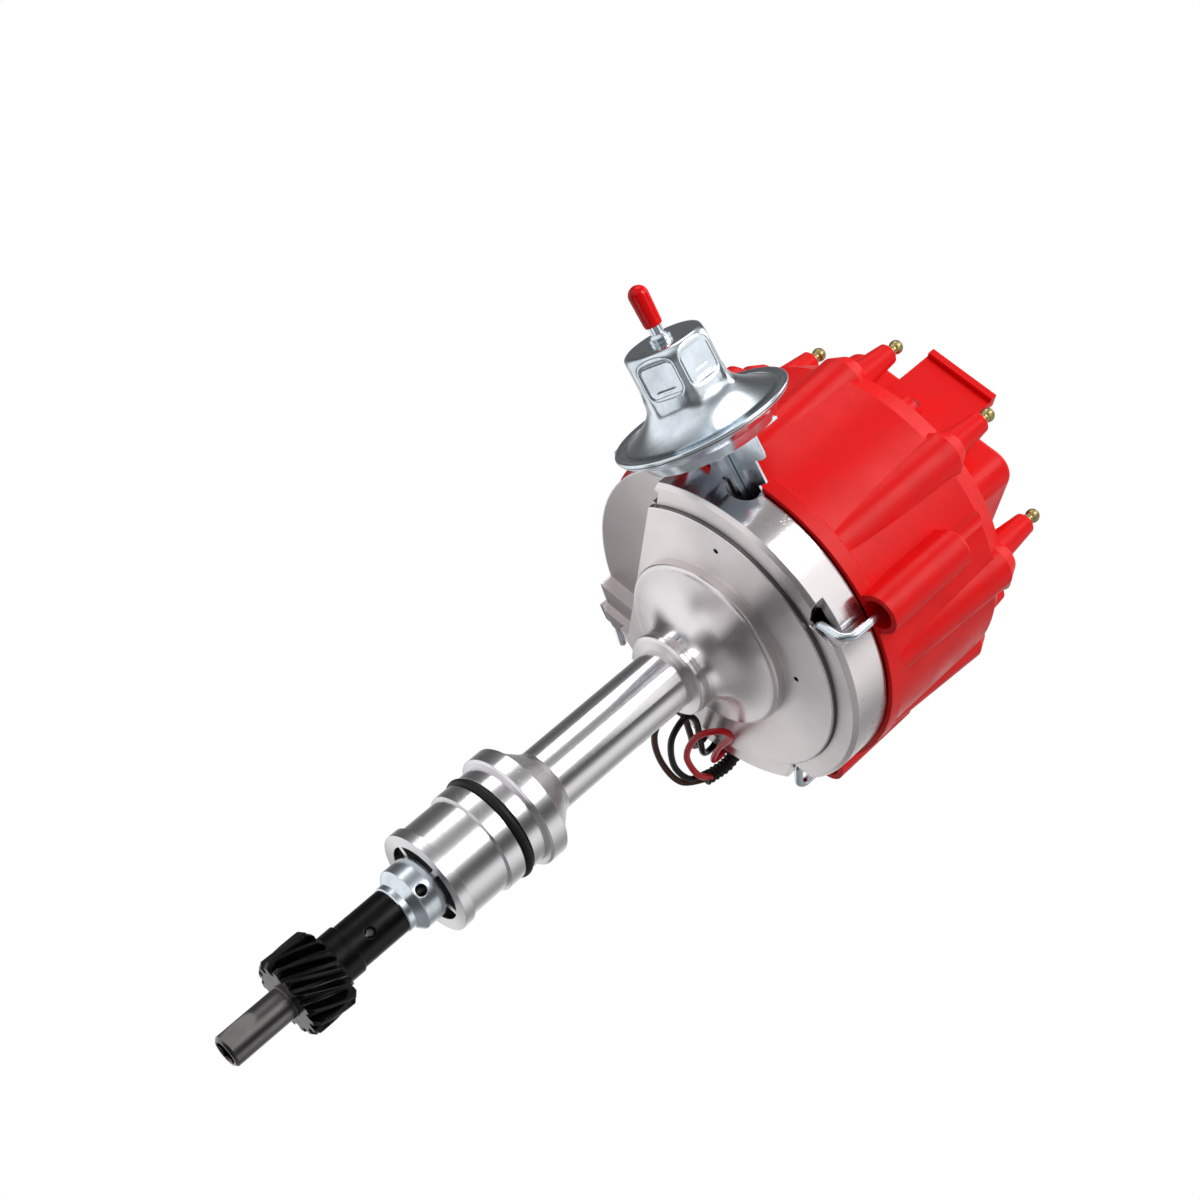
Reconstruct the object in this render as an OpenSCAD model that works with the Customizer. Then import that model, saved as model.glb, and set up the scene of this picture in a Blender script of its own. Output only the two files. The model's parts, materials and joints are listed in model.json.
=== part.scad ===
// Large-cap electronic ignition distributor with a gear-driven shaft.
// The shaft's axis is Z, cap up and gear down. The origin is on that axis, in the
// plane where the housing's shoulder collar sits on the engine block.
// The vacuum canister's axis points along +X.

/* [Shaft and drive] */
// Radius of the drive shaft
shaft_r = 6.15; // [5.5:0.05:6.4]
// Length of the bare drive tip below the gear
tip_len = 25.4; // [15:0.5:40]
// Hex socket in the drive tip, across its flats
socket_flats = 7.94; // [5:0.02:8.4]
// Depth of the hex socket
socket_depth = 14; // [6:1:20]
// Length of the gear teeth along the shaft
gear_len = 18.2; // [12:0.2:24]
// Outer radius of the gear teeth
gear_r = 15; // [13:0.25:17]
// Number of gear teeth
gear_teeth = 15; // [11:1:18]
// Depth of a gear tooth
tooth_depth = 3.6; // [2.5:0.1:4.5]
// Helix angle of the gear teeth at their tips
helix_angle = 27; // [15:1:35]
// Length of the gear's hub above the teeth
hub_len = 28.1; // [22:0.5:36]
// Radius of the gear's hub
hub_r = 8.5; // [7.8:0.1:10]
// Length of the thrust collar
collar_len = 14.1; // [12:0.5:18]
// Radius of the thrust collar
collar_r = 12; // [11:0.25:13]
// Thickness of the thrust washer
washer_t = 0.5; // [0.3:0.1:1]
// Radius of the roll pin through the gear's hub
gear_pin_r = 1.95; // [1.5:0.05:2.2]
// Radius of the roll pin through the collar
collar_pin_r = 2.15; // [1.5:0.05:2.4]

/* [Pilot barrel and column] */
// Distance from the seating plane down to the barrel's lower end
barrel_len = 38.3; // [30:0.5:50]
// Radius of the pilot lands
pilot_r = 19.8; // [19:0.1:21.5]
// Radius of the barrel between the pilot lands
waist_r = 18.6; // [17.4:0.1:18.8]
// Thickness of the flange at the barrel's lower end
flange_t = 4.2; // [3:0.2:8]
// Height of the upper pilot land
land_len = 16.8; // [14:0.2:20]
// Distance from the seating plane to the top of the O-ring groove
groove_top = 6.1; // [4:0.1:8]
// Height of the O-ring groove
groove_h = 4.2; // [3.8:0.1:5]
// Radius of the floor of the O-ring groove
groove_r = 17.2; // [16.8:0.1:18]
// Radius of the O-ring's cord
o_ring_cord_r = 1.75; // [1.5:0.05:1.9]
// Radius of the shoulder collar
shoulder_r = 22.4; // [21.8:0.2:26]
// Height of the shoulder collar
shoulder_h = 7.7; // [5:0.1:12]
// Height of the cone above the shoulder collar
cone_h = 10.5; // [6:0.5:16]
// Radius of the column
column_r = 12.25; // [11.8:0.05:14]
// Number of pockets in the barrel's lower end
pocket_count = 5; // [3:1:6]
// Depth of those pockets
pocket_depth = 12; // [4:1:18]

/* [Bowl] */
// Height of the neck's root collar above the seating plane
neck_z = 81.1; // [70:0.5:100]
// Radius of the neck
neck_r = 16.6; // [14.5:0.1:17]
// Radius of the flare from the neck to the disc
flare_r = 14.5; // [10:0.5:15]
// Radius of the disc at the top of the neck
disc_r = 35.2; // [34:0.1:38]
// Height of the disc
disc_h = 5; // [3:0.2:7]
// Radius of the raised plateau under the bowl
plateau_r = 57; // [50:0.5:60]
// Height of the plateau
plateau_h = 2; // [1:0.2:3]
// Outer radius of the bowl
bowl_r = 66; // [65.5:0.1:66.5]
// Height of the bowl's wall from the plateau to its rim
bowl_h = 19.5; // [18.5:0.5:21]
// Thickness of the bowl's wall
bowl_wall = 4.5; // [3:0.1:5]
// Thickness of the bowl's floor at the middle
bowl_floor = 4.4; // [3.5:0.1:5]
// Distance from the axis to the edge of the milled recess
recess_offset = 37.5; // [37:0.5:42]
// Depth of the milled recess, from the plateau
recess_depth = 11.2; // [8:0.2:11.4]
// Distance of the recess's end wall from the line through the axis
recess_end = 30.5; // [26:0.5:34]
// Width of the milled step beside the recess
step_w = 7.8; // [5:0.2:10]

/* [Cap] */
// How far the cap's panels stand outside the bowl
cap_out = 0.8; // [0.2:0.1:2]
// Height of the panels above the bowl's rim
panel_h = 62; // [58:0.5:66]
// Height of the cap's deck above the bowl's rim
deck_h = 73; // [71:0.5:76]
// Thickness of the cap's wall
cap_wall = 3.4; // [2.5:0.1:4]
// Number of plug towers
tower_count = 8; // [4:2:8]
// Distance of a plug tower's axis inside the cap's panels
tower_in = 9.5; // [8.8:0.1:11]
// Height of a plug tower above the deck
tower_h = 19.9; // [14:0.5:26]
// Radius of the rib under a tower
rib_r = 9.5; // [8:0.1:10.5]
// Radius of a latch boss
boss_r = 8; // [7:0.1:8.5]
// Height of a latch boss above the bowl's rim
boss_h = 43.4; // [36:0.5:50]

/* [Coil cover] */
// Width of the coil cover
cover_w = 79; // [76:1:80]
// Height of the coil cover
cover_h = 26; // [24:0.5:32]
// Wall of the coil cover
cover_wall = 2.4; // [2:0.1:3]
// Height of the guard plate above the coil cover
guard_h = 16; // [8:0.5:20]
// Width of the guard plate
guard_w = 30.6; // [20:0.5:34]

/* [Latches] */
// Distance of a latch's axis outside the bowl
latch_out = 5; // [4.5:0.1:5.5]
// Radius of a latch's rod
latch_rod_r = 1.6; // [1.3:0.05:1.8]
// Reach of a latch's hook from the rod's axis
hook_reach = 13.5; // [12:0.5:14]
// Angle by which the hooks stand off the radius
hook_slew = 32; // [26:1:34]

/* [Vacuum unit] */
// Distance of the canister's axis from the shaft's axis
canister_y = 34.1; // [33:0.1:36]
// Distance from the bowl's wall to the canister's rim
canister_out = 15; // [13:0.5:20]
// Radius of the canister's rim
canister_rim_r = 33; // [30:0.5:35]
// Depth of the canister's back plate behind the rim
back_depth = 8; // [6:0.5:9]
// Distance from the rim to the canister's closed end
canister_len = 31.5; // [28:0.5:36]
// Across-corners radius of the hexagonal end
hex_r = 16.6; // [15:0.1:18]
// Outer radius of the vacuum nipple
nipple_r = 2.4; // [2:0.1:2.8]
// Travel of the vacuum rod
rod_travel = 5; // [3:0.5:6]

/* [Pickup and advance] */
// Radius of the boss that the pickup plate turns on
pivot_r = 15; // [14:0.1:15.5]
// Outer radius of the pickup plate
plate_r = 33; // [30:0.5:33.5]
// Radial gap between the pickup plate's edge and the magnet
magnet_in = 4.8; // [3:0.2:6]
// Number of teeth on the trigger wheel and pole piece
trigger_teeth = 8; // [4:2:8]
// Radius of the trigger wheel's teeth
trigger_r = 20.3; // [19:0.1:20.5]
// Gap between the trigger wheel and the pole piece
air_gap = 0.6; // [0.4:0.05:0.8]
// Radius of the weight plate
weight_plate_r = 34; // [30:0.5:36]
// Depth of the rotor's disc below the blade
rotor_depth = 16; // [12:0.5:18]
// Radius of the rotor's disc
rotor_r = 37; // [34:0.5:42]

/* [Wiring] */
// Radius of a harness wire
wire_r = 1.3; // [1:0.1:1.5]
// Radius of the harness sleeve
sleeve_r = 3; // [2.6:0.1:3.2]

/* [Hidden] */
$fn = 72;
eps = 0.01;
running = 0.05;
press = 0.02;

// Heights along the shaft, from the gear end to the neck
flange_z = -barrel_len;
collar_top = flange_z - washer_t - 2 * running;
collar_z = collar_top - collar_len;
gear_top = collar_z - hub_len;
gear_z = gear_top - gear_len;
tip_z = gear_z - tip_len;
tip_r = shaft_r - 0.2;
gear_pin_z = collar_z - 13;
collar_pin_z = collar_z + 8.2;
pin_az = 70;
hub_bore_r = shaft_r + press;
collar_neck_r = hub_r + 0.4;

// Heights and radii of the bowl
bushing_r = 8;
bushing_bore_r = shaft_r + running;
bushing_len = 20;
neck_root_z = neck_z + 2.9;
flare_z = neck_root_z + 2.1;
disc_z = flare_z + flare_r;
disc_edge = 1.8;
plateau_z = disc_z + disc_h;
band_z = plateau_z + plateau_h;
rim_z = plateau_z + bowl_h;
floor_z = plateau_z + bowl_floor;
cavity_r = bowl_r - bowl_wall;
cap_r = bowl_r + cap_out;
tower_pitch_r = cap_r - tower_in;
latch_pitch_r = bowl_r + latch_out;
canister_x = bowl_r + canister_out;
recess_z = plateau_z + recess_depth;
recess_az = -45;
pad_wall = 3;
pad_z = recess_z + 4;
pad_offset = recess_offset - pad_wall;
step_z = plateau_z + 5.4;
step_end = recess_end + step_w;
lug_r = bowl_r + 1.2;
plate_z = floor_z + 7;
plate_t = 2.5;
clip_z = plate_z + plate_t + 0.2;
clip_t = 0.8;
pivot_top = plate_z + 5.5;

// Cap
cap_phase = 1;
key_az = 83.6;
latch_count = 4;
cap_rim_r = bowl_r + 2;
cap_rim_h = 7;
shoulder_in = 7;
deck_r = cap_r - shoulder_in;
deck_z = rim_z + deck_h;
panel_z = rim_z + panel_h;
ceiling_z = deck_z - 11;
pit_z = deck_z - 6;
pit_w = 68;
lip_wall = 2.4;
lip_h = 3.2;
rib_pitch_r = cap_r - rib_r + 4.4;
rib_knee_z = panel_z + 4.6;
rib_lean = 3.4;
tower_top = deck_z + tower_h;
terminal_r = 2.5;
terminal_foot_z = rim_z + 45;
button_r = 2.6;
button_z = terminal_foot_z + 8;
centre_boss_r = 8;
boss_top = rim_z + boss_h;
head_floor = boss_top - 10;
boss_bore_r = latch_rod_r + 0.1;
boss_cavity_r = boss_r - 2.2;

// Coil and its cover
cover_az = 46;
cover_corner = 9;
cover_edge = 3;
cover_in = cover_w / 2 - cover_wall;
cover_top = deck_z + cover_h;
core_w = 62;
core_d = 54;
core_z = deck_z + 1;
core_t = 14;
leg_w = 16;
window_w = 13;
winding_z = core_z - 4.4;
winding_h = core_t + 9;
coil_screw_x = core_w / 2 - 4.5;
coil_screw_y = core_d / 2 - 4.5;
ear_r = 5.4;
ear_pitch = cover_w / 2 + 12.5;
ear_h = 6;
guard_t = 3;

// Latches
hook_z = band_z + 1.9;
hook_bend = 5;
head_r = 4.6;
head_z = head_floor + 4.2;
head_t = 3.4;
latch_rise = 4.4;
latch_aside = 76;

// Vacuum unit
canister_z = rim_z - 2.3;
rod_w = 5;
rod_t = 2.2;
eye_r = 4.4;
pin_x = -rod_travel / 2;
pin_r = 2;
sheet = 1;
back_r = 24.4;
nipple_x = canister_x + canister_len;

// Bracket of the canister: a plate level with the rim, screwed to two bosses beside the rod
bracket_half = 10.4;
bracket_tab = 21.4;
bracket_boss_r = 3.2;
bracket_screw_r = cavity_r - 5;
bracket_screws = [for (y = [canister_y - 7.1, canister_y + 6.5])
    [sqrt(bracket_screw_r * bracket_screw_r - y * y), y]];
bracket_x = bracket_screws[1][0] - 4;

// Advance mechanism
timer_z = pivot_top + 0.8;
weight_plate_z = rim_z + 13;
weight_plate_t = 2.5;
rotor_gap = 15;
weight_z = weight_plate_z + weight_plate_t + 0.6;
weight_t = 5;
cam_z = weight_plate_z + weight_plate_t + 0.4;
cam_t = 6.4;
arm_z = cam_z + cam_t - 0.7;
cam_post = [4, 15];
weight_pivot = [22, -14];
weight_pin_r = 2.4;
spring_z = arm_z + 3.2;
shaft_top = arm_z + 4.6;
cam_seat_r = shaft_r - 0.65;
pillar = [0, 27];
pillar_r = 4;
rotor_z = weight_plate_z + rotor_gap;
rotor_t = 4;
rotor_hub_r = 13;
blade_z = rotor_z + rotor_depth;
blade_t = 1.2;
blade_end = tower_pitch_r - terminal_r - 1;

// Harness routes: points chosen by eye along the real wires, round a bowl of this radius;
// round another bowl they move outward or inward with its wall
route_bowl_r = 66;
function pushed(path, d) = [for (p = path) p + d * unit([p[0], p[1], 0])];
grommet_az = -141;
grommet_z = 113.5;
grommet_face_r = bowl_r + 2.5;
black_path = [[-52.1, -42.2, 113.6], [-56.6, -45.8, 111], [-54.5, -42.5, 104],
    [-45, -33, 99.5], [-31.5, -21.5, 95.5], [-26, -18.5, 90.5], [-34, -28, 86],
    [-49, -40.5, 88.5], [-60.4, -45.8, 94.5], [-63.2, -45.2, 102]];
brown_path = [[-49.1, -45.6, 113.6], [-53.5, -49.8, 111], [-51.5, -47, 104],
    [-41.5, -37, 99.5], [-27.5, -25.5, 94], [-20.5, -21.5, 86.5], [-30, -32.5, 83],
    [-46, -44.4, 86.5], [-60.8, -49.4, 92.5], [-65.9, -46.3, 102]];
red_path = [[-55, -38.7, 113.6], [-59.4, -41.8, 111], [-57.5, -38.5, 104],
    [-48.5, -25.5, 101], [-40.5, -10, 98.8], [-34.6, -7.6, 95], [-35.5, -19, 91.5],
    [-46, -33.5, 91.5], [-59, -41, 96], [-64.9, -43.3, 102]];
sleeve_path = [[-64.6, -45, 100.4], [-65.2, -44.4, 105], [-64.5, -42, 111], [-61.5, -41, 118],
    [-57.5, -45, 126], [-54, -48.5, 135], [-51.5, -51, 148], [-50.5, -52, 163],
    [-50.3, -52, 178], [-49.5, -51.2, 189], [-47.4, -49.1, 199]];
sleeve_ends = [22.5, 14.75];

// Helpers
module spin(count, start = 0) {
    for (i = [0 : count - 1]) rotate([0, 0, start + i * 360 / count]) children();
}

module ring(r_in, r_out, h) {
    difference() {
        cylinder(r = r_out, h = h);
        translate([0, 0, -1]) cylinder(r = r_in, h = h + 2);
    }
}

module block(size, at = [0, 0, 0]) {
    translate([at[0] - size[0] / 2, at[1] - size[1] / 2, at[2]]) cube(size);
}

module band(r_in, r_out, z_low, z_high) {
    translate([r_in, z_low]) square([r_out - r_in, z_high - z_low]);
}

module round_square(w, d, r) {
    square([w - 2 * r, d], center = true);
    square([w, d - 2 * r], center = true);
    for (x = [-1, 1], y = [-1, 1])
        translate([x * (w / 2 - r), y * (d / 2 - r)]) circle(r);
}

module roll_pin(r, length) {
    difference() {
        translate([0, 0, -length / 2]) cylinder(r = r, h = length);
        translate([0, 0, -length / 2 - 1]) cylinder(r = r * 0.66, h = length + 2);
        translate([0, -r * 0.2, -length / 2 - 1]) cube([r + 1, r * 0.4, length + 2]);
    }
}

function unit(v) = v / norm(v);
function leaning(v) = abs(v[2]) < 0.9 * norm(v) ? [0, 0, 1] : [1, 0, 0];
function along(path, i) = unit(path[min(i + 1, len(path) - 1)] - path[max(i - 1, 0)]);
function carried(n, t) = unit(n - (n * t) * t);
function sides_of(path, i, last) =
    i == len(path) ? [] :
    let (t = along(path, i), n = carried(last, t))
    concat([n], sides_of(path, i + 1, n));
function between(a, b, c, d, t) =
    ((2 * b) + (c - a) * t + (2 * a - 5 * b + 4 * c - d) * t * t
    + (3 * b - a - 3 * c + d) * t * t * t) / 2;
function smooth(path, steps) = let (last = len(path) - 1) concat(
    [for (i = [0 : last - 1], s = [0 : steps - 1])
        between(path[max(i - 1, 0)], path[i], path[i + 1], path[min(i + 2, last)], s / steps)],
    [path[last]]);

// A round bar swept along a list of points
module tube(path, r, sides = 8) {
    rings = len(path);
    side = sides_of(path, 0, carried(leaning(along(path, 0)), along(path, 0)));
    points = [for (i = [0 : rings - 1], k = [0 : sides - 1])
        let (t = along(path, i), n = side[i], m = cross(t, n), a = 360 * k / sides)
        path[i] + r * (cos(a) * n + sin(a) * m)];
    walls = [for (i = [0 : rings - 2], k = [0 : sides - 1], half = [0, 1])
        let (q = (k + 1) % sides, a = i * sides, b = a + sides)
        half == 0 ? [a + k, b + k, b + q] : [a + k, b + q, a + q]];
    foot = [for (k = [0 : sides - 1]) k];
    top = [for (k = [sides - 1 : -1 : 0]) (rings - 1) * sides + k];
    polyhedron(points, concat([foot], walls, [top]), convexity = 10);
}

function helix(r, pitch, turns, steps) = [for (i = [0 : turns * steps])
    [r * cos(360 * i / steps), r * sin(360 * i / steps), pitch * i / steps]];

// Points of an extension spring along X, with an open loop about Z at each end
function loop_points(x, r, a0, a1, n) = [for (i = [0 : n])
    let (a = a0 + (a1 - a0) * i / n) [x + r * cos(a), r * sin(a), 0]];
function coil_points(x0, x1, r, turns, steps) = [for (i = [0 : turns * steps])
    let (a = 360 * i / steps) [x0 + (x1 - x0) * i / (turns * steps), r * cos(a), r * sin(a)]];

// Housing
module housing_profile() {
    band(0, pilot_r, flange_z, flange_z + flange_t);
    band(0, waist_r, flange_z + flange_t - eps, eps - land_len);
    band(0, pilot_r, -land_len, -groove_top - groove_h);
    band(0, groove_r, -groove_top - groove_h - eps, eps - groove_top);
    band(0, pilot_r, -groove_top, eps);
    polygon([[0, 0], [shoulder_r - 0.8, 0], [shoulder_r, 0.8], [shoulder_r, shoulder_h - 0.6],
        [shoulder_r - 0.6, shoulder_h], [shoulder_r - 2, shoulder_h],
        [column_r + 1.2, shoulder_h + cone_h - 2.4], [column_r, shoulder_h + cone_h],
        [0, shoulder_h + cone_h]]);
    band(0, column_r, shoulder_h, neck_z + 1);
    polygon([[0, neck_z], [neck_r - 0.3, neck_z], [neck_r + 0.6, neck_z + 0.9],
        [neck_r + 0.6, neck_root_z - 0.4], [neck_r, neck_root_z], [0, neck_root_z]]);
    difference() {
        band(0, neck_r + flare_r, neck_root_z - eps, disc_z + eps);
        band(neck_r, neck_r + flare_r + 1, neck_root_z - 1, flare_z);
        translate([neck_r + flare_r, flare_z]) circle(flare_r);
    }
    band(0, disc_r - disc_edge, disc_z, plateau_z + eps);
    band(0, disc_r, disc_z + disc_edge, plateau_z + eps);
    translate([disc_r - disc_edge, disc_z + disc_edge]) circle(disc_edge);
    polygon([[0, plateau_z], [plateau_r - 0.5, plateau_z], [plateau_r, plateau_z + 0.5],
        [plateau_r, band_z], [bowl_r - 1.5, band_z], [bowl_r, band_z + 1.7], [bowl_r, rim_z],
        [cavity_r, rim_z], [cavity_r, floor_z], [pivot_r + 2, floor_z], [pivot_r + 2, plate_z],
        [pivot_r, plate_z], [pivot_r, pivot_top], [0, pivot_top]]);
}

// The part of a disc beyond a chord at the recess, from one end wall to the far side
module recess_side(offset, end, z_low, z_high, r) {
    intersection() {
        rotate([0, 0, recess_az]) translate([offset, -end, z_low])
            cube([r, r + end, z_high - z_low]);
        translate([0, 0, z_low]) cylinder(r = r, h = z_high - z_low);
    }
}

module latch_notch() {
    apex = latch_pitch_r - hook_reach * cos(hook_slew) - 2.6;
    side = bowl_r / 3;
    slip = hook_reach * sin(hook_slew);
    translate([0, 0, band_z - 1]) linear_extrude(height = 6.4)
        polygon([[apex, -slip], [apex + side, -slip - 1.17 * side],
            [apex + side, 1.1 * side - slip]]);
}

// Round-bottomed opening in the wall for the vacuum rod, and the seat of its bracket above it
module rod_opening() {
    low_z = rim_z - 4.2;
    from_x = bracket_screws[1][0] + bracket_boss_r + 0.3;
    translate([from_x, canister_y - 3.3, low_z]) cube([bowl_r - from_x, 12.4, 5.2]);
    translate([from_x, canister_y + 4.2, rim_z - 3.4]) rotate([0, 90, 0])
        cylinder(r = 5.3, h = bowl_r - from_x);
    translate([bracket_x - 0.4, canister_y - bracket_half - 0.2, rim_z - sheet])
        cube([bowl_r, 2 * bracket_half + 0.2, sheet + 1]);
}

module grommet_slot(r_in, r_out, w, h) {
    rotate([0, 0, grommet_az]) translate([r_in, -w / 2, grommet_z - h / 2])
        cube([r_out - r_in, w, h]);
}

// Unmachined pad on the wall, between the step and the next latch notch
module housing_lug() {
    intersection() {
        translate([0, 0, band_z + 0.6]) ring(bowl_r - 3, lug_r, 13);
        rotate([0, 0, recess_az]) translate([0, -bowl_r, band_z]) cube([60, bowl_r - step_end, 20]);
        rotate([0, 0, -100]) translate([40, -2, band_z]) cube([40, 40, 20]);
    }
}

module housing() {
    color("silver") difference() {
        union() {
            rotate_extrude() housing_profile();
            recess_side(pad_offset, recess_end + pad_wall, floor_z - 1, pad_z, cavity_r + 1);
            recess_side(pad_offset, step_end + pad_wall, floor_z - 1, step_z + 3.4, cavity_r + 1);
            housing_lug();
            for (p = bracket_screws) translate([p[0], p[1], floor_z - 1])
                cylinder(r = bracket_boss_r, h = rim_z - sheet - floor_z + 1);
        }
        // Shaft bore with a bushing seat at each end
        translate([0, 0, flange_z - 1]) cylinder(r = shaft_r + 0.9, h = pivot_top - flange_z + 2);
        translate([0, 0, flange_z - 1]) cylinder(r = bushing_r, h = bushing_len + 1);
        translate([0, 0, pivot_top - bushing_len]) cylinder(r = bushing_r, h = bushing_len + 1);
        // Groove for the clip that holds the pickup plate
        translate([0, 0, clip_z - 0.05]) ring(pivot_r - 0.7, pivot_r + 1, clip_t + 0.1);
        // Pockets in the lower end of the barrel
        difference() {
            translate([0, 0, flange_z - 1]) ring(9.6, 15.2, pocket_depth + 1);
            spin(pocket_count, -8) block([17, 2.2, pocket_depth + 3], [8.5, 0, flange_z - 2]);
        }
        // Milled recess under the bowl, and the step beside it
        recess_side(recess_offset, recess_end, plateau_z - 6, recess_z, bowl_r + 2);
        recess_side(recess_offset, step_end, plateau_z - 6, step_z, bowl_r + 2);
        // Notches for the latch hooks
        spin(latch_count, cap_phase) latch_notch();
        // Corner of the recess beside the first notch
        rotate([0, 0, recess_az]) translate([recess_offset - 2, recess_offset + 7.5, plateau_z - 1])
            cube([9, 6.4, band_z + 6.4 - plateau_z]);
        rod_opening();
        // Window for the wire grommet
        grommet_slot(cavity_r - 2, bowl_r + 1, 17, 6.4);
        // Drain holes in the plateau
        for (p = [[38.1, plateau_r - 8.6], [112.9, plateau_r - 16.1]]) rotate([0, 0, p[0]])
            translate([p[1], 0, plateau_z - 1]) cylinder(r = 1.1, h = bowl_floor + 2);
        // Screw holes for the module and the capacitor strap
        for (p = bowl_screw_places) translate([p[0], p[1], p[2] - 3.5]) cylinder(r = 1.5, h = 6);
    }
}

// Screws in the bowl: x, y and the height of the seat
module_place = cavity_r - 13.5;
module_screw_y = 17.4;
capacitor_az = 135;
capacitor_pitch = cavity_r - 11.5;
strap_pitch = capacitor_pitch - 11;
strap_place = [cos(capacitor_az) * strap_pitch, sin(capacitor_az) * strap_pitch];
bowl_screw_places = [
    for (s = [-1, 1]) concat([cos(recess_az) * module_place - sin(recess_az) * s * module_screw_y,
        sin(recess_az) * module_place + cos(recess_az) * s * module_screw_y], [pad_z]),
    [strap_place[0], strap_place[1], floor_z],
    for (p = bracket_screws) [p[0], p[1], rim_z - sheet]];
bowl_screw_grip = [3, 3, 1, 1, 1];

module bowl_screws() {
    color("silver") for (i = [0 : len(bowl_screw_places) - 1])
        translate(bowl_screw_places[i]) {
            translate([0, 0, -3.3]) cylinder(r = 1.45, h = 3.3 + bowl_screw_grip[i]);
            translate([0, 0, bowl_screw_grip[i]]) difference() {
                cylinder(r1 = 3, r2 = 2.5, h = 1.4);
                for (a = [0, 90]) rotate([0, 0, a]) block([3.6, 0.7, 1], [0, 0, 0.8]);
            }
        }
}

module upper_bushing() {
    color("goldenrod") translate([0, 0, pivot_top - bushing_len])
        ring(bushing_bore_r, bushing_r, bushing_len);
}

module lower_bushing() {
    color("goldenrod") translate([0, 0, flange_z]) ring(bushing_bore_r, bushing_r, bushing_len);
}

module o_ring() {
    color("#181818") translate([0, 0, -groove_top - groove_h / 2])
        rotate_extrude() translate([groove_r + o_ring_cord_r + 0.02, 0]) circle(o_ring_cord_r);
}

module ignition_module() {
    color("#202020") rotate([0, 0, recess_az]) translate([module_place, 0, pad_z]) difference() {
        union() {
            block([12, 28, 8]);
            block([12, 40, 3]);
            block([7, 16, 10]);
        }
        for (s = [-1, 1]) translate([0, s * module_screw_y, -1]) cylinder(r = 1.55, h = 6);
        block([4.4, 13, 4], [0, 0, 7]);
    }
}

module capacitor() {
    can_r = 6.2;
    strap_t = 0.9;
    color("silver") translate([0, 0, floor_z]) rotate([0, 0, capacitor_az]) difference() {
        union() {
            translate([capacitor_pitch, -11, can_r + strap_t]) rotate([-90, 0, 0])
                cylinder(r = can_r, h = 22);
            translate([capacitor_pitch, -4, can_r + strap_t]) rotate([-90, 0, 0])
                cylinder(r = can_r + strap_t, h = 8);
            translate([strap_pitch, -4, 0]) cube([capacitor_pitch - strap_pitch, 8, 1]);
            translate([strap_pitch, 0, 0]) cylinder(r = 4, h = 1);
        }
        translate([strap_pitch, 0, -1]) cylinder(r = 1.55, h = 3);
        translate([capacitor_pitch, -12, can_r + strap_t]) rotate([-90, 0, 0]) ring(4.6, 5.4, 1.6);
    }
}

module wire_grommet() {
    color("#141414") difference() {
        union() {
            grommet_slot(cavity_r + 0.2, grommet_face_r, 16.6, 6);
            grommet_slot(bowl_r + 0.3, grommet_face_r, 19, 7.6);
        }
        translate([0, 0, grommet_z - 5]) ring(1, cavity_r, 10);
    }
}

module wire(path) {
    tube(smooth(pushed(path, bowl_r - route_bowl_r), 2), wire_r, 8);
}

module wire_red() { color("#c01018") wire(red_path); }

module wire_black() { color("#101010") wire(black_path); }

module wire_brown() { color("#6a3b22") wire(brown_path); }

// The sleeve follows the cap's side and turns in to the plug
module harness_sleeve() {
    inward = [for (d = sleeve_ends) let (r = cover_w / 2 + d, a = cover_az + 180)
        [r * cos(a), r * sin(a), deck_z + 7.5]];
    color("#101010")
        tube(smooth(concat(pushed(sleeve_path, bowl_r - route_bowl_r), inward), 1), sleeve_r, 10);
}

// The plug stands in the coil cover's socket side, away from the guard plate
module harness_plug() {
    color("#181818") rotate([0, 0, cover_az + 180]) difference() {
        union() {
            block([9, 26, 11], [cover_w / 2 + 7.2, 0, deck_z + 2]);
            block([4, 12, 8], [cover_w / 2 + 12.7, 0, deck_z + 3.5]);
        }
        for (y = [-8, 0, 8]) block([6, 3, 5], [cover_w / 2 + 4.2, y, deck_z + 5]);
    }
}

// Vacuum canister
module on_canister_axis() {
    translate([0, canister_y, canister_z]) rotate([0, 90, 0]) children();
}

// Radius of the bell's flare at a share of its height
function bell_r(s) = 15 + (canister_rim_r - 18) * pow(1 - s, 2.3);

module bell_profile(inset) {
    flare = 13.5;
    steps = 9;
    x0 = canister_x + 1;
    outer = [for (i = [0 : steps]) [bell_r(i / steps) - inset, x0 + flare * i / steps]];
    polygon(concat([[0, x0]], outer, [[14.4 - inset, canister_x + 18],
        [0, canister_x + 18]]));
}

module canister_shell() {
    color("#d8dde2") on_canister_axis() difference() {
        union() {
            rotate_extrude() bell_profile(0);
            rotate_extrude() polygon([[canister_rim_r - 4, canister_x + 0.2],
                [canister_rim_r - 0.4, canister_x + 0.2], [canister_rim_r, canister_x + 0.6],
                [canister_rim_r, canister_x + 1.2], [canister_rim_r - 0.7, canister_x + 1.7],
                [canister_rim_r - 2.4, canister_x + 1.4], [canister_rim_r - 4, canister_x + 2]]);
            intersection() {
                translate([0, 0, canister_x + 8])
                    cylinder(r = hex_r, h = canister_len - 8, $fn = 6);
                rotate_extrude() polygon([[0, canister_x + 7], [15.9, canister_x + 7],
                    [15.6, nipple_x - 3.6], [14.6, nipple_x - 1.2], [12.8, nipple_x], [0, nipple_x]]);
            }
        }
        rotate_extrude() bell_profile(sheet);
        translate([0, 0, canister_x]) cylinder(r = 13, h = canister_len - sheet);
        translate([0, 0, canister_x - 1]) cylinder(r = canister_rim_r - 3.9, h = 2.2);
        cylinder(r = nipple_r + 0.02, h = nipple_x + 5);
    }
}

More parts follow.
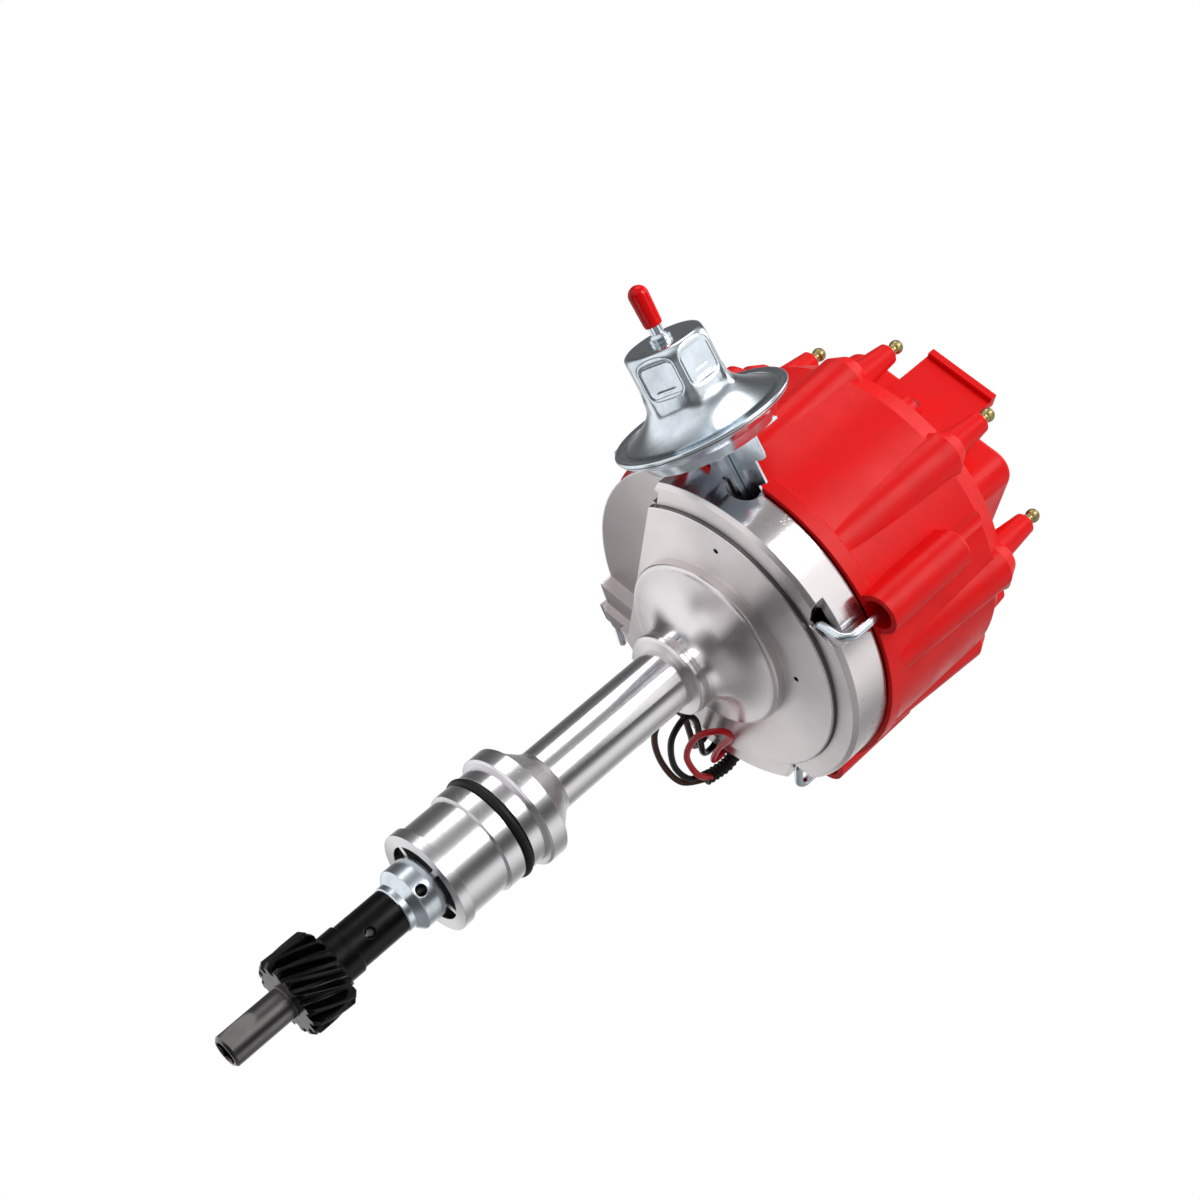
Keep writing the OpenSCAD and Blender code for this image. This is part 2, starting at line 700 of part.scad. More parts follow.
module canister_back() {
    wall = [[back_r, canister_x - back_depth], [back_r + 0.8, canister_x - back_depth + 1.2],
        [canister_rim_r - 6, canister_x - 4], [canister_rim_r - 2.7, canister_x - 2],
        [canister_rim_r - 1, canister_x - 1]];
    color("#c9ced3") on_canister_axis() difference() {
        rotate_extrude() polygon(concat([[0, canister_x - back_depth]], wall,
            [[canister_rim_r - 0.3, canister_x], [0, canister_x]]));
        rotate_extrude() polygon([[0, canister_x - back_depth + sheet],
            [back_r - 1, canister_x - back_depth + sheet], [back_r, canister_x - 4.4],
            [canister_rim_r - 4.4, canister_x - 1.6],
            [canister_rim_r - 4.4, canister_x + 1], [0, canister_x + 1]]);
        translate([0, 0, canister_x - back_depth - 1]) cylinder(r = 5, h = 4);
    }
}

// A steel bracket: a stepped plate over the rod and a flange bent up at the back plate
module canister_bracket() {
    back_x = canister_x - back_depth;
    low = canister_y - bracket_half;
    high = canister_y + bracket_half;
    color("#c4cbd0") difference() {
        union() {
            translate([0, 0, rim_z - sheet]) linear_extrude(height = sheet) union() {
                polygon([[bracket_x, low], [back_x, low], [back_x, high + 4.6],
                    [canister_x - 27.4, high + 4.6], [canister_x - 28.2, high],
                    [bracket_x, high]]);
                polygon([[back_x, high + 4], [canister_x - 18.3, high + 4],
                    [canister_x - 18.3, canister_y + bracket_tab - 2.4],
                    [canister_x - 17.6, canister_y + bracket_tab - 0.7],
                    [canister_x - 15.9, canister_y + bracket_tab],
                    [back_x, canister_y + bracket_tab]]);
                translate([bowl_r + 0.6, canister_y - bracket_tab])
                    square([back_x - bowl_r - 0.6, bracket_tab]);
            }
            translate([back_x - sheet, canister_y - bracket_tab, rim_z - sheet])
                cube([sheet, 2 * bracket_tab, 12]);
        }
        translate([0, canister_y, canister_z]) rotate([0, 90, 0])
            translate([0, 0, back_x - sheet]) cylinder(r = 5, h = 5);
        for (p = bracket_screws) translate([p[0], p[1], rim_z - sheet - 1])
            cylinder(r = 1.55, h = 3);
    }
}

module vacuum_nipple() {
    color("#d8dde2") on_canister_axis() difference() {
        union() {
            translate([0, 0, nipple_x - 3]) cylinder(r = nipple_r, h = 17);
            translate([0, 0, nipple_x]) cylinder(r = 4, h = 1.6);
            translate([0, 0, nipple_x + 1.6]) cylinder(r1 = 3.6, r2 = nipple_r + 0.2, h = 1);
        }
        translate([0, 0, nipple_x - 4]) cylinder(r = nipple_r - 0.9, h = 20);
    }
}

module nipple_cap() {
    cap_z = nipple_x + 5.6;
    color("#d81820") on_canister_axis() rotate_extrude() difference() {
        union() {
            polygon([[nipple_r + 0.05, cap_z], [3.1, cap_z], [3.35, cap_z + 1],
                [3.65, cap_z + 11.4], [0, cap_z + 11.4]]);
            intersection() {
                translate([0, cap_z + 11.4]) circle(3.65);
                band(0, 4, cap_z + 11, cap_z + 16);
            }
        }
        band(-1, nipple_r + 0.05, cap_z - 1, nipple_x + 14.2);
        band(-5, 0, cap_z - 1, cap_z + 20);
    }
}

module vacuum_diaphragm() {
    color("#2a2622") on_canister_axis() rotate_extrude()
        polygon([[0, canister_x - 1.6], [18, canister_x - 1.6], [22, canister_x - 3.6],
            [25.5, canister_x - 1.8], [28, canister_x - 1.6], [28, canister_x - 0.8],
            [25.3, canister_x - 1], [22, canister_x - 2.6], [18.2, canister_x - 0.4],
            [0, canister_x - 0.4]]);
}

module vacuum_spring() {
    turns = 6;
    pitch = (canister_len - sheet - 1.2) / turns;
    color("#8a8d90") on_canister_axis() translate([0, 0, canister_x + 0.4])
        tube(helix(9, pitch, turns, 12), 0.8, 6);
}

module vacuum_rod() {
    end_x = canister_x - 1.9;
    bolt_r = 3.6;
    color("#9aa0a6") translate([0, canister_y, canister_z]) difference() {
        union() {
            translate([pin_x, -rod_w / 2, -rod_t / 2]) cube([end_x - pin_x - 1, rod_w, rod_t]);
            translate([pin_x, 0, -rod_t / 2]) cylinder(r = eye_r, h = rod_t);
            translate([end_x - 1.2, 0, 0]) rotate([0, 90, 0]) cylinder(r = bolt_r, h = 1.2);
        }
        translate([pin_x, 0, -rod_t]) cylinder(r = pin_r + 0.5, h = 2 * rod_t);
    }
}

// Pickup: turns on the boss in the bowl
module pickup_plate() {
    color("#b9b9b2") {
        difference() {
            union() {
                translate([0, 0, plate_z]) cylinder(r = plate_r, h = plate_t);
                translate([pin_x, canister_y, plate_z]) cylinder(r = 4.6, h = plate_t);
                translate([pin_x - 4.6, plate_r - 8, plate_z])
                    cube([9.2, canister_y - plate_r + 8, plate_t]);
                translate([pin_x, canister_y, plate_z])
                    cylinder(r = pin_r, h = canister_z - plate_z + 2);
            }
            translate([0, 0, plate_z - 1]) cylinder(r = pivot_r + running, h = plate_t + 2);
            for (a = [20, 200, 320]) rotate([0, 0, a]) translate([30.6, 0, plate_z - 1])
                cylinder(r = 1.2, h = plate_t + 2);
        }
    }
}

module pickup_magnet() {
    color("#3a3a3c") translate([0, 0, plate_z + plate_t]) ring(trigger_r + 1.5, plate_r - magnet_in, 4.3);
}

module pickup_coil() {
    color("#1c1c1e") translate([0, 0, plate_z + plate_t]) difference() {
        ring(17.8, 21.6, 3.4);
        translate([0, 0, 0.9]) ring(21.1, 22, 1.6);
    }
}

module pole_piece() {
    gap_r = trigger_r + air_gap;
    root_r = plate_r - magnet_in - 3.6;
    color("#8c9094") translate([0, 0, plate_z + plate_t + 4.3]) linear_extrude(height = 1.8)
        difference() {
            circle(plate_r - magnet_in + 0.4);
            circle(gap_r);
            difference() {
                circle(root_r);
                spin(trigger_teeth) polygon([[gap_r - 1, -1.2], [root_r + 0.9, -3.2],
                    [root_r + 0.9, 3.2], [gap_r - 1, 1.2]]);
            }
        }
}

module pickup_clip() {
    color("#777b80") translate([0, 0, clip_z]) difference() {
        ring(pivot_r - 0.65, pivot_r + 2.2, clip_t);
        rotate([0, 0, 200]) translate([5, -4, -1]) cube([20, 8, 4]);
    }
}

// Rotating shaft group
module drive_shaft() {
    color("#b0aeb0") difference() {
        rotate_extrude() polygon([[0, tip_z], [tip_r - 0.9, tip_z], [tip_r, tip_z + 0.9],
            [tip_r, gear_z - 0.4], [shaft_r, gear_z - 0.4], [shaft_r, cam_z],
            [cam_seat_r, cam_z], [cam_seat_r, shaft_top], [0, shaft_top]]);
        translate([0, 0, tip_z - 1])
            cylinder(r = socket_flats / sqrt(3), h = socket_depth + 1, $fn = 6);
        translate([0, 0, tip_z - eps]) cylinder(r1 = socket_flats / sqrt(3), r2 = 3.6, h = 1);
        translate([0, 0, gear_pin_z]) rotate([0, 0, pin_az]) rotate([0, 90, 0])
            cylinder(r = gear_pin_r + press, h = 30, center = true);
        translate([0, 0, collar_pin_z]) rotate([0, 0, pin_az]) rotate([0, 90, 0])
            cylinder(r = collar_pin_r + press, h = 30, center = true);
    }
}

// Outline of the gear: root, flank and tip points of each tooth
function gear_outline(n, r_root, r_tip) = [for (i = [0 : n - 1], p = [
    [-0.36, r_root], [-0.27, r_root + 0.3], [-0.21, (r_root + r_tip) / 2], [-0.1, r_tip],
    [0.1, r_tip], [0.21, (r_root + r_tip) / 2], [0.27, r_root + 0.3], [0.36, r_root]])
    let (a = 360 * (i + p[0]) / n) p[1] * [cos(a), sin(a)]];

module drive_gear() {
    twist_deg = tan(helix_angle) * gear_len / gear_r * 180 / PI;
    root_r = gear_r - tooth_depth;
    color("#161616") difference() {
        union() {
            intersection() {
                translate([0, 0, gear_z]) linear_extrude(height = gear_len, twist = -twist_deg,
                    slices = 10) polygon(gear_outline(gear_teeth, root_r, gear_r));
                rotate_extrude() polygon([[0, gear_z], [gear_r - 1.6, gear_z],
                    [gear_r + eps, gear_z + 1.6], [gear_r + eps, gear_top - 1.6],
                    [gear_r - 1.6, gear_top], [0, gear_top]]);
            }
            rotate_extrude() polygon([[0, gear_z + 1], [hub_r, gear_z + 1], [hub_r + 0.7, gear_top],
                [hub_r + 0.7, gear_top + 8], [hub_r + 0.3, gear_top + 8.4],
                [hub_r, gear_top + 8.4], [hub_r, collar_z - 0.4], [hub_r - 0.4, collar_z],
                [0, collar_z]]);
        }
        translate([0, 0, gear_z - 1]) cylinder(r = hub_bore_r, h = gear_len + hub_len + 2);
        translate([0, 0, gear_pin_z]) rotate([0, 0, pin_az]) rotate([0, 90, 0])
            cylinder(r = gear_pin_r + press, h = 40, center = true);
    }
}

module gear_pin() {
    color("#8a8a8c") translate([0, 0, gear_pin_z]) rotate([0, 0, pin_az]) rotate([0, 90, 0])
        roll_pin(gear_pin_r, 2 * hub_r - 0.8);
}

module thrust_collar() {
    color("#c8ccd0") difference() {
        rotate_extrude() polygon([[0, collar_z], [collar_neck_r - 0.4, collar_z],
            [collar_neck_r, collar_z + 0.4], [collar_neck_r, collar_z + 2.6],
            [collar_neck_r + 0.3, collar_z + 2.9], [collar_r - 0.2, collar_z + 5.4],
            [collar_r, collar_z + 5.7], [collar_r, collar_top - 0.5], [collar_r - 0.5, collar_top],
            [0, collar_top]]);
        translate([0, 0, collar_z - 1]) cylinder(r = hub_bore_r, h = collar_len + 2);
        translate([0, 0, collar_pin_z]) rotate([0, 0, pin_az]) rotate([0, 90, 0])
            cylinder(r = collar_pin_r + press, h = 40, center = true);
    }
}

module collar_pin() {
    color("#a8abae") translate([0, 0, collar_pin_z]) rotate([0, 0, pin_az]) rotate([0, 90, 0])
        roll_pin(collar_pin_r, 2 * collar_r - 0.6);
}

module thrust_washer() {
    color("#6f6a60") translate([0, 0, collar_top]) ring(shaft_r + 0.1, collar_r - 0.8, washer_t);
}

module centre_cam() {
    color("#9a9ca0") difference() {
        union() {
            translate([0, 0, cam_z]) linear_extrude(height = cam_t) {
                circle(8.4);
                intersection() {
                    circle(10.6);
                    rotate(-32) square([24, 8], center = true);
                }
            }
            for (s = [0, 180]) rotate([0, 0, s]) {
                translate([0, 0, arm_z]) linear_extrude(height = 1.6)
                    polygon([[-4, 0], [cam_post[0] - 2.6, cam_post[1]],
                        [cam_post[0] + 2.6, cam_post[1]], [8, 0]]);
                translate([cam_post[0], cam_post[1], arm_z]) cylinder(r = 2.6, h = 1.6);
                translate([cam_post[0], cam_post[1], arm_z]) cylinder(r = 1.3, h = 5);
            }
        }
        translate([0, 0, cam_z - 1]) cylinder(r = cam_seat_r + press, h = cam_t + 5);
    }
}

// Timer group: turns on the shaft when the weights fly out
module timer_core() {
    star_z = plate_z + plate_t + 4.2;
    color("#84888c") difference() {
        union() {
            translate([0, 0, timer_z]) cylinder(r = 9, h = weight_plate_z - timer_z);
            translate([0, 0, star_z]) linear_extrude(height = 3) intersection() {
                circle(trigger_r);
                union() {
                    circle(15.5);
                    spin(trigger_teeth) polygon([[10, -4], [trigger_r + 1, -1.2],
                        [trigger_r + 1, 1.2], [10, 4]]);
                }
            }
        }
        translate([0, 0, plate_z]) cylinder(r = shaft_r + running, h = weight_plate_z);
    }
}

module weight_plate() {
    color("#a5a8ac") {
        difference() {
            union() {
                translate([0, 0, weight_plate_z]) linear_extrude(height = weight_plate_t)
                    intersection() {
                        circle(weight_plate_r);
                        square([2 * weight_plate_r, 64], center = true);
                    }
                for (s = [0, 180]) rotate([0, 0, s]) {
                    translate([pillar[0], pillar[1], weight_plate_z])
                        cylinder(r = pillar_r, h = rotor_z - weight_plate_z);
                    translate([weight_pivot[0], weight_pivot[1], weight_plate_z])
                        cylinder(r = weight_pin_r, h = spring_z + 1.6 - weight_plate_z);
                }
            }
            translate([0, 0, weight_plate_z - 1]) cylinder(r = shaft_r + running, h = 5);
            for (s = [0, 180]) rotate([0, 0, s]) translate([pillar[0], pillar[1], rotor_z - 6])
                cylinder(r = 1.5, h = 7);
        }
    }
}

module advance_weight() {
    swing = 16;
    color("#6c7074") translate([0, 0, weight_z]) difference() {
        linear_extrude(height = weight_t) {
            intersection() {
                difference() {
                    circle(weight_plate_r - 1);
                    circle(12.4);
                }
                polygon([[5.8, -8], [28, -15], [40, -12], [40, 24], [20, swing + 3], [9.5, 9]]);
            }
            translate(weight_pivot) circle(5.4);
        }
        translate([weight_pivot[0], weight_pivot[1], -1])
            cylinder(r = weight_pin_r + running, h = weight_t + 2);
    }
}

module advance_weight_1() { advance_weight(); }

module advance_weight_2() { rotate([0, 0, 180]) advance_weight(); }

// Each spring runs from a post on the cam to the far weight's pin
module advance_springs() {
    post = [cam_post[0], cam_post[1], spring_z];
    pin = [-weight_pivot[0], -weight_pivot[1], spring_z];
    span = norm(pin - post);
    loop_r = 3;
    inset = loop_r + 1.4;
    az = atan2(pin[1] - post[1], pin[0] - post[0]);
    color("#b0b4b8") for (s = [0, 180]) rotate([0, 0, s]) translate(post) rotate([0, 0, az])
        tube(concat(loop_points(0, loop_r, -330, -30, 10),
            coil_points(inset, span - inset, 1.9, 9, 8),
            loop_points(span, loop_r, 150, -150, 10)), 0.45, 5);
}

module rotor() {
    color("#c9201f") difference() {
        union() {
            translate([0, 0, rotor_z]) cylinder(r = rotor_r, h = rotor_t);
            translate([0, 0, rotor_z + rotor_t - eps])
                cylinder(r1 = rotor_hub_r + 2, r2 = rotor_hub_r, h = blade_z - rotor_z - rotor_t);
            translate([0, -6, rotor_z + rotor_t - eps])
                cube([rotor_r - 1, 12, blade_z - rotor_z - rotor_t]);
            rotate([0, 0, 180]) translate([0, -3, rotor_z + rotor_t - eps])
                cube([rotor_r - 4, 6, 5]);
        }
        translate([0, 0, rotor_z - 1]) cylinder(r = 9, h = 9);
        for (s = [0, 180]) rotate([0, 0, s]) translate([pillar[0], pillar[1], rotor_z - 1])
            cylinder(r = 1.6, h = rotor_t + 2);
    }
}

module rotor_contact() {
    tongue = 5;
    color("#c8a048") translate([0, 0, blade_z]) {
        difference() {
            union() {
                translate([-4, -4, 0]) cube([blade_end - 2, 8, blade_t]);
                translate([blade_end - 6, -4, 0]) cube([6, 8, 2.4]);
                cylinder(r = 5.4, h = blade_t);
            }
            translate([18, 0, -1]) cylinder(r = 1.5, h = 4);
        }
        translate([-4, -2, 0]) rotate([0, -28, 0]) cube([9, 4, 0.6]);
        translate([0, 0, blade_t]) cylinder(r = 2.2, h = button_z - blade_z - blade_t - 0.3);
    }
}

module rotor_screws() {
    color("#9a9ca0") for (s = [0, 180]) rotate([0, 0, s])
        translate([pillar[0], pillar[1], rotor_z]) {
            translate([0, 0, -5.5]) cylinder(r = 1.45, h = 5.5 + rotor_t);
            translate([0, 0, rotor_t]) difference() {
                cylinder(r = 3.2, h = 2);
                block([8, 0.9, 2], [0, 0, 1.1]);
            }
        }
}

// Distributor cap
module cap_body_profile() {
    polygon([[0, rim_z], [cap_rim_r, rim_z], [cap_rim_r, rim_z + cap_rim_h - 0.8],
        [cap_rim_r - 0.8, rim_z + cap_rim_h], [cap_r, rim_z + cap_rim_h],
        [cap_r, panel_z], [cap_r - 1.2, panel_z + 2.4], [deck_r + 1.6, deck_z - 0.6],
        [deck_r, deck_z], [0, deck_z]]);
}

// The rib leans out from the rim, where it is nearly flush, to the deck
module plug_rib() {
    drop = rib_knee_z - rim_z - cap_rim_h + 1;
    translate([rib_pitch_r, 0, rib_knee_z]) rotate([0, rib_lean, 0]) {
        translate([0, 0, -drop]) cylinder(r = rib_r, h = drop);
        cylinder(r1 = rib_r, r2 = rib_r - 3.2, h = deck_z - rib_knee_z - 0.5);
        translate([-1.2, 0, -drop]) linear_extrude(height = drop - 3.5)
            polygon([[0, -12.6], [6, -rib_r + 0.8], [6, rib_r - 0.8], [0, 12.6]]);
    }
    translate([tower_pitch_r, 0, deck_z - 6]) cylinder(r1 = 7, r2 = 6.2, h = 6 + eps);
    translate([tower_pitch_r, 0, deck_z]) cylinder(r1 = 6.2, r2 = 4.3, h = tower_h - 0.6);
    translate([tower_pitch_r, 0, tower_top - 0.6]) cylinder(r1 = 4.3, r2 = 3.7, h = 0.6);
}

module latch_boss() {
    foot_z = rim_z + 0.5;
    translate([latch_pitch_r, 0, foot_z]) cylinder(r = boss_r, h = boss_top - 1.4 - foot_z);
    translate([latch_pitch_r, 0, boss_top - 1.4]) cylinder(r1 = boss_r, r2 = boss_r - 1.2, h = 1.4);
    translate([cap_r - 3, -boss_r, foot_z])
        cube([latch_pitch_r - cap_r + 3, 2 * boss_r, boss_top - 1.4 - foot_z]);
}

module latch_boss_bore() {
    translate([latch_pitch_r, 0, rim_z - 1]) cylinder(r = boss_cavity_r, h = head_floor - rim_z - 9);
    translate([latch_pitch_r, 0, rim_z]) cylinder(r = boss_bore_r, h = boss_h + 1);
    translate([latch_pitch_r, 0, head_floor]) cylinder(r = head_r + 0.6, h = boss_h);
}

module distributor_cap() {
    inner = cap_r - cap_wall;
    color("#d41c1c") difference() {
        union() {
            rotate_extrude() cap_body_profile();
            spin(tower_count, cap_phase + 180 / tower_count) plug_rib();
            spin(latch_count, cap_phase) latch_boss();
            translate([0, 0, rim_z - lip_h]) cylinder(r = cavity_r - 0.3, h = lip_h + 1);
            // Small key on the rim, between a rib and the second latch
            rotate([0, 0, key_az]) block([3, 3.6, 1.6], [cap_rim_r - 2, 0, rim_z + cap_rim_h - 0.4]);
        }
        // Space for the rotor and the advance mechanism
        translate([0, 0, rim_z - lip_h - 1]) cylinder(r = cavity_r - 0.3 - lip_wall, h = lip_h + 2);
        rotate_extrude() difference() {
            polygon([[0, rim_z], [inner - 3, rim_z], [inner - 2, panel_z - 6],
                [deck_r - 6, ceiling_z], [0, ceiling_z]]);
            band(0, centre_boss_r, button_z + 1, ceiling_z + 1);
        }
        // Relief in the lip for the vacuum rod and its bracket
        translate([30, canister_y - 12, rim_z - lip_h - 1]) cube([40, 24, lip_h + 1]);
        // Lip cut away over the module pad and the wire window
        rotate([0, 0, recess_az]) translate([module_place - 9, -22, rim_z - lip_h - 1])
            cube([16, 44, lip_h + 1.01]);
        // Pit for the coil
        rotate([0, 0, cover_az]) translate([0, 0, pit_z]) linear_extrude(height = 10)
            round_square(pit_w, pit_w, 8);
        translate([0, 0, button_z - 1]) cylinder(r = button_r + 0.1, h = 30);
        spin(latch_count, cap_phase) latch_boss_bore();
        spin(tower_count, cap_phase + 180 / tower_count)
            translate([tower_pitch_r, 0, terminal_foot_z]) cylinder(r = terminal_r + press, h = 80);
        for (a = cover_screw_az) rotate([0, 0, a])
            translate([ear_pitch, 0, deck_z - 6]) cylinder(r = 1.5, h = 8);
    }
    // Posts that the coil's core stands on
    color("#d41c1c") rotate([0, 0, cover_az]) for (x = [-1, 1], y = [-1, 1])
        translate([x * coil_screw_x, y * coil_screw_y, pit_z - eps]) difference() {
            cylinder(r = 4, h = core_z - pit_z);
            translate([0, 0, 1]) cylinder(r = 1.5, h = 10);
        }
}

module plug_terminals() {
    color("#b08d3c") spin(tower_count, cap_phase + 180 / tower_count)
        translate([tower_pitch_r, 0, 0]) {
            translate([0, 0, terminal_foot_z]) cylinder(r = terminal_r, h = tower_top - terminal_foot_z);
            translate([0, 0, tower_top]) cylinder(r = 2.9, h = 1);
            translate([0, 0, tower_top + 1]) cylinder(r1 = 2.9, r2 = 2.1, h = 1);
            translate([0, 0, tower_top + 2]) cylinder(r = 2.1, h = 1.2);
            intersection() {
                translate([0, 0, tower_top + 4.6]) sphere(r = 2.75);
                translate([0, 0, tower_top + 2.8]) cylinder(r = 5, h = 4.2);
            }
        }
}

module carbon_button() {
    color("#202022") translate([0, 0, button_z]) {
        translate([0, 0, 0.6]) cylinder(r = button_r, h = 5.4);
        cylinder(r1 = 1.8, r2 = button_r, h = 0.61);
    }
}

module button_spring() {
    turns = 4;
    color("#a8acb0") translate([0, 0, button_z + 6.5])
        tube(helix(1.7, (winding_z - button_z - 6.95) / turns, turns, 8), 0.35, 5);
}

module coil_seal() {
    color("#1a1a1a") translate([0, 0, pit_z]) ring(button_r + 0.6, 10, winding_z - pit_z - 0.3);
}

module on_deck() {
    rotate([0, 0, cover_az]) children();
}

module coil_core() {
    color("#3c3e42") on_deck() difference() {
        block([core_w, core_d, core_t], [0, 0, core_z]);
        for (s = [-1, 1]) block([window_w, core_d - 20, core_t + 2],
            [s * (leg_w / 2 + window_w / 2), 0, core_z - 1]);
        for (x = [-1, 1], y = [-1, 1]) translate([x * coil_screw_x, y * coil_screw_y, core_z - 1])
            cylinder(r = 1.7, h = core_t + 2);
        for (x = [-1, 1], y = [-1, 1]) translate([x * core_w / 2, y * core_d / 2, core_z - 1])
            rotate([0, 0, 45]) block([3, 3, core_t + 2]);
    }
}

module coil_winding() {
    w = leg_w + 2 * window_w - 0.8;
    d = core_d - 20.8;
    color("#6b1d14") on_deck() difference() {
        translate([0, 0, winding_z]) linear_extrude(height = winding_h) round_square(w, d, 4);
        block([leg_w + 0.2, d + 2, core_t + 0.2], [0, 0, core_z - 0.1]);
        block([leg_w + 0.2, d + 2, 6], [0, 0, core_z + core_t]);
    }
}

module coil_screws() {
    color("#9a9ca0") on_deck() for (x = [-1, 1], y = [-1, 1])
        translate([x * coil_screw_x, y * coil_screw_y, core_z]) {
            translate([0, 0, -5]) cylinder(r = 1.45, h = core_t + 5);
            translate([0, 0, core_t]) difference() {
                cylinder(r1 = 3.4, r2 = 2.8, h = 2.2);
                for (a = [0, 90]) rotate([0, 0, a]) block([4, 0.8, 1.4], [0, 0, 1.2]);
            }
        }
}

// Three blades in the socket side of the coil cover
module coil_terminals() {
    color("#c8a048") rotate([0, 0, cover_az + 180]) for (y = [-8, 0, 8])
        block([cover_w / 2 + 6 - core_w / 2 - 1, 2.6, 0.8],
            [(cover_w / 2 + 6 + core_w / 2 + 1) / 2, y, deck_z + 7.2]);
}

// Points of a quarter round from the side up to the top
function edge_points(w, edge, h) = [for (i = [0 : 5])
    [w - edge + edge * cos(18 * i), h - edge + edge * sin(18 * i)]];

// A square box with round upright corners and a rounded top edge
module soft_box(w, r, edge, h) {
    half = w / 2;
    right = edge_points(half, edge, h);
    left = [for (i = [5 : -1 : 0]) [-right[i][0], right[i][1]]];
    for (a = [0, 90]) rotate([90, 0, a])
        linear_extrude(height = w - 2 * r, center = true)
            polygon(concat([[-half, 0], [half, 0]], right, left));
    for (x = [-1, 1], y = [-1, 1]) translate([x * (half - r), y * (half - r), 0])
        rotate_extrude() polygon(concat([[0, 0], [r, 0]], edge_points(r, edge, h), [[0, h]]));
}

cover_screw_az = [cover_az, cover_az + 90, cover_az - 90];

module coil_cover() {
    color("#d41c1c") difference() {
        union() {
            translate([0, 0, deck_z]) on_deck() soft_box(cover_w, cover_corner, cover_edge, cover_h);
            for (a = cover_screw_az) rotate([0, 0, a]) {
                translate([ear_pitch, 0, deck_z]) cylinder(r = ear_r, h = ear_h);
                translate([cover_w / 2 - 3, -ear_r, deck_z])
                    cube([ear_pitch - cover_w / 2 + 3, 2 * ear_r, ear_h]);
            }
            // Guard plate with a lip along its top edge
            on_deck() {
                translate([cover_w / 2 - 1, -guard_w / 2, deck_z + ear_h + 2])
                    cube([guard_t + 1, guard_w, cover_h + guard_h - ear_h - 2]);
                translate([cover_w / 2 - 1, -guard_w / 2, cover_top + guard_h - 3])
                    cube([guard_t + 3, guard_w, 3]);
                for (s = [-1, 1]) translate([cover_w / 2 - 9, s * (guard_w / 2 - 1.2) - 1.2, cover_top - 4])
                    cube([10, 2.4, 10]);
            }
            // Socket hood on the far side
            rotate([0, 0, cover_az + 180]) translate([cover_w / 2 - 3, -14.6, deck_z + 1])
                cube([14, 29.2, 15]);
        }
        on_deck() translate([0, 0, deck_z - 1]) linear_extrude(height = cover_h - cover_wall + 1)
            round_square(2 * cover_in, 2 * cover_in, cover_corner - cover_wall);
        for (a = cover_screw_az) rotate([0, 0, a])
            translate([ear_pitch, 0, deck_z - 1]) cylinder(r = 1.6, h = 20);
        for (a = cover_screw_az) rotate([0, 0, a])
            translate([ear_pitch, 0, deck_z + 4.2]) cylinder(r = 3.3, h = 20);
        rotate([0, 0, cover_az + 180]) translate([cover_w / 2 + 0.4, -13.2, deck_z - 1])
            cube([20, 26.4, 14.6]);
        rotate([0, 0, cover_az + 180]) for (y = [-8, 0, 8])
            block([8, 3, 1.2], [cover_w / 2, y, deck_z + 7]);
    }
}

module cover_screws() {
    color("#181818") for (a = cover_screw_az) rotate([0, 0, a])
        translate([ear_pitch, 0, deck_z]) {
            translate([0, 0, -5.4]) cylinder(r = 1.45, h = 9.7);
            translate([0, 0, 4.25]) difference() {
                cylinder(r1 = 3, r2 = 2.6, h = 2.4);
                for (b = [45, 135]) rotate([0, 0, b]) block([3.6, 0.8, 2], [0, 0, 1.2]);
            }
        }
}

module latch_springs() {
    turns = 3;
    color("#b0b4b8") for (i = [0 : latch_count - 1]) rotate([0, 0, cap_phase + 90 * i])
        translate([latch_pitch_r, 0, head_floor + 0.45])
            tube(helix(3.1, (head_z - head_floor - 0.9 + (i == 0 || i == 3 ? latch_rise : 0)) / turns,
                turns, 8), 0.42, 5);
}

// A bent rod: head in the cap's boss, hook in the bowl's notch
module latch(turn = 0, lift = 0) {
    translate([latch_pitch_r, 0, lift]) rotate([0, 0, turn]) {
        translate([0, 0, hook_z + hook_bend]) cylinder(r = latch_rod_r,
            h = head_z - hook_z - hook_bend);
        translate([0, 0, head_z]) difference() {
            cylinder(r = head_r, h = head_t);
            block([12, 1.3, 3], [0, 0, head_t - 1.6]);
        }
        rotate([0, 0, 180 + hook_slew]) translate([hook_bend, 0, hook_z + hook_bend]) {
            rotate([90, 0, 0]) rotate([0, 0, 180]) rotate_extrude(angle = 90)
                translate([hook_bend, 0]) circle(latch_rod_r);
            translate([0, 0, -hook_bend]) rotate([0, 90, 0])
                cylinder(r = latch_rod_r, h = hook_reach - hook_bend - 1.2);
            translate([hook_reach - hook_bend - 1.2, 0, -hook_bend]) rotate([0, 90, 0])
                cylinder(r1 = latch_rod_r, r2 = 0.8, h = 1.2);
        }
    }
}

module latch_at(place, turn = 0, lift = 0) {
    color("#b4b8bc") rotate([0, 0, cap_phase + 90 * place]) latch(turn, lift);
}

// The first and fourth are let go: their press springs have lifted them and they are turned aside
module latch_1() { latch_at(0, latch_aside, latch_rise); }

module latch_2() { latch_at(1); }

module latch_3() { latch_at(2); }

module latch_4() { latch_at(3, latch_aside, latch_rise); }

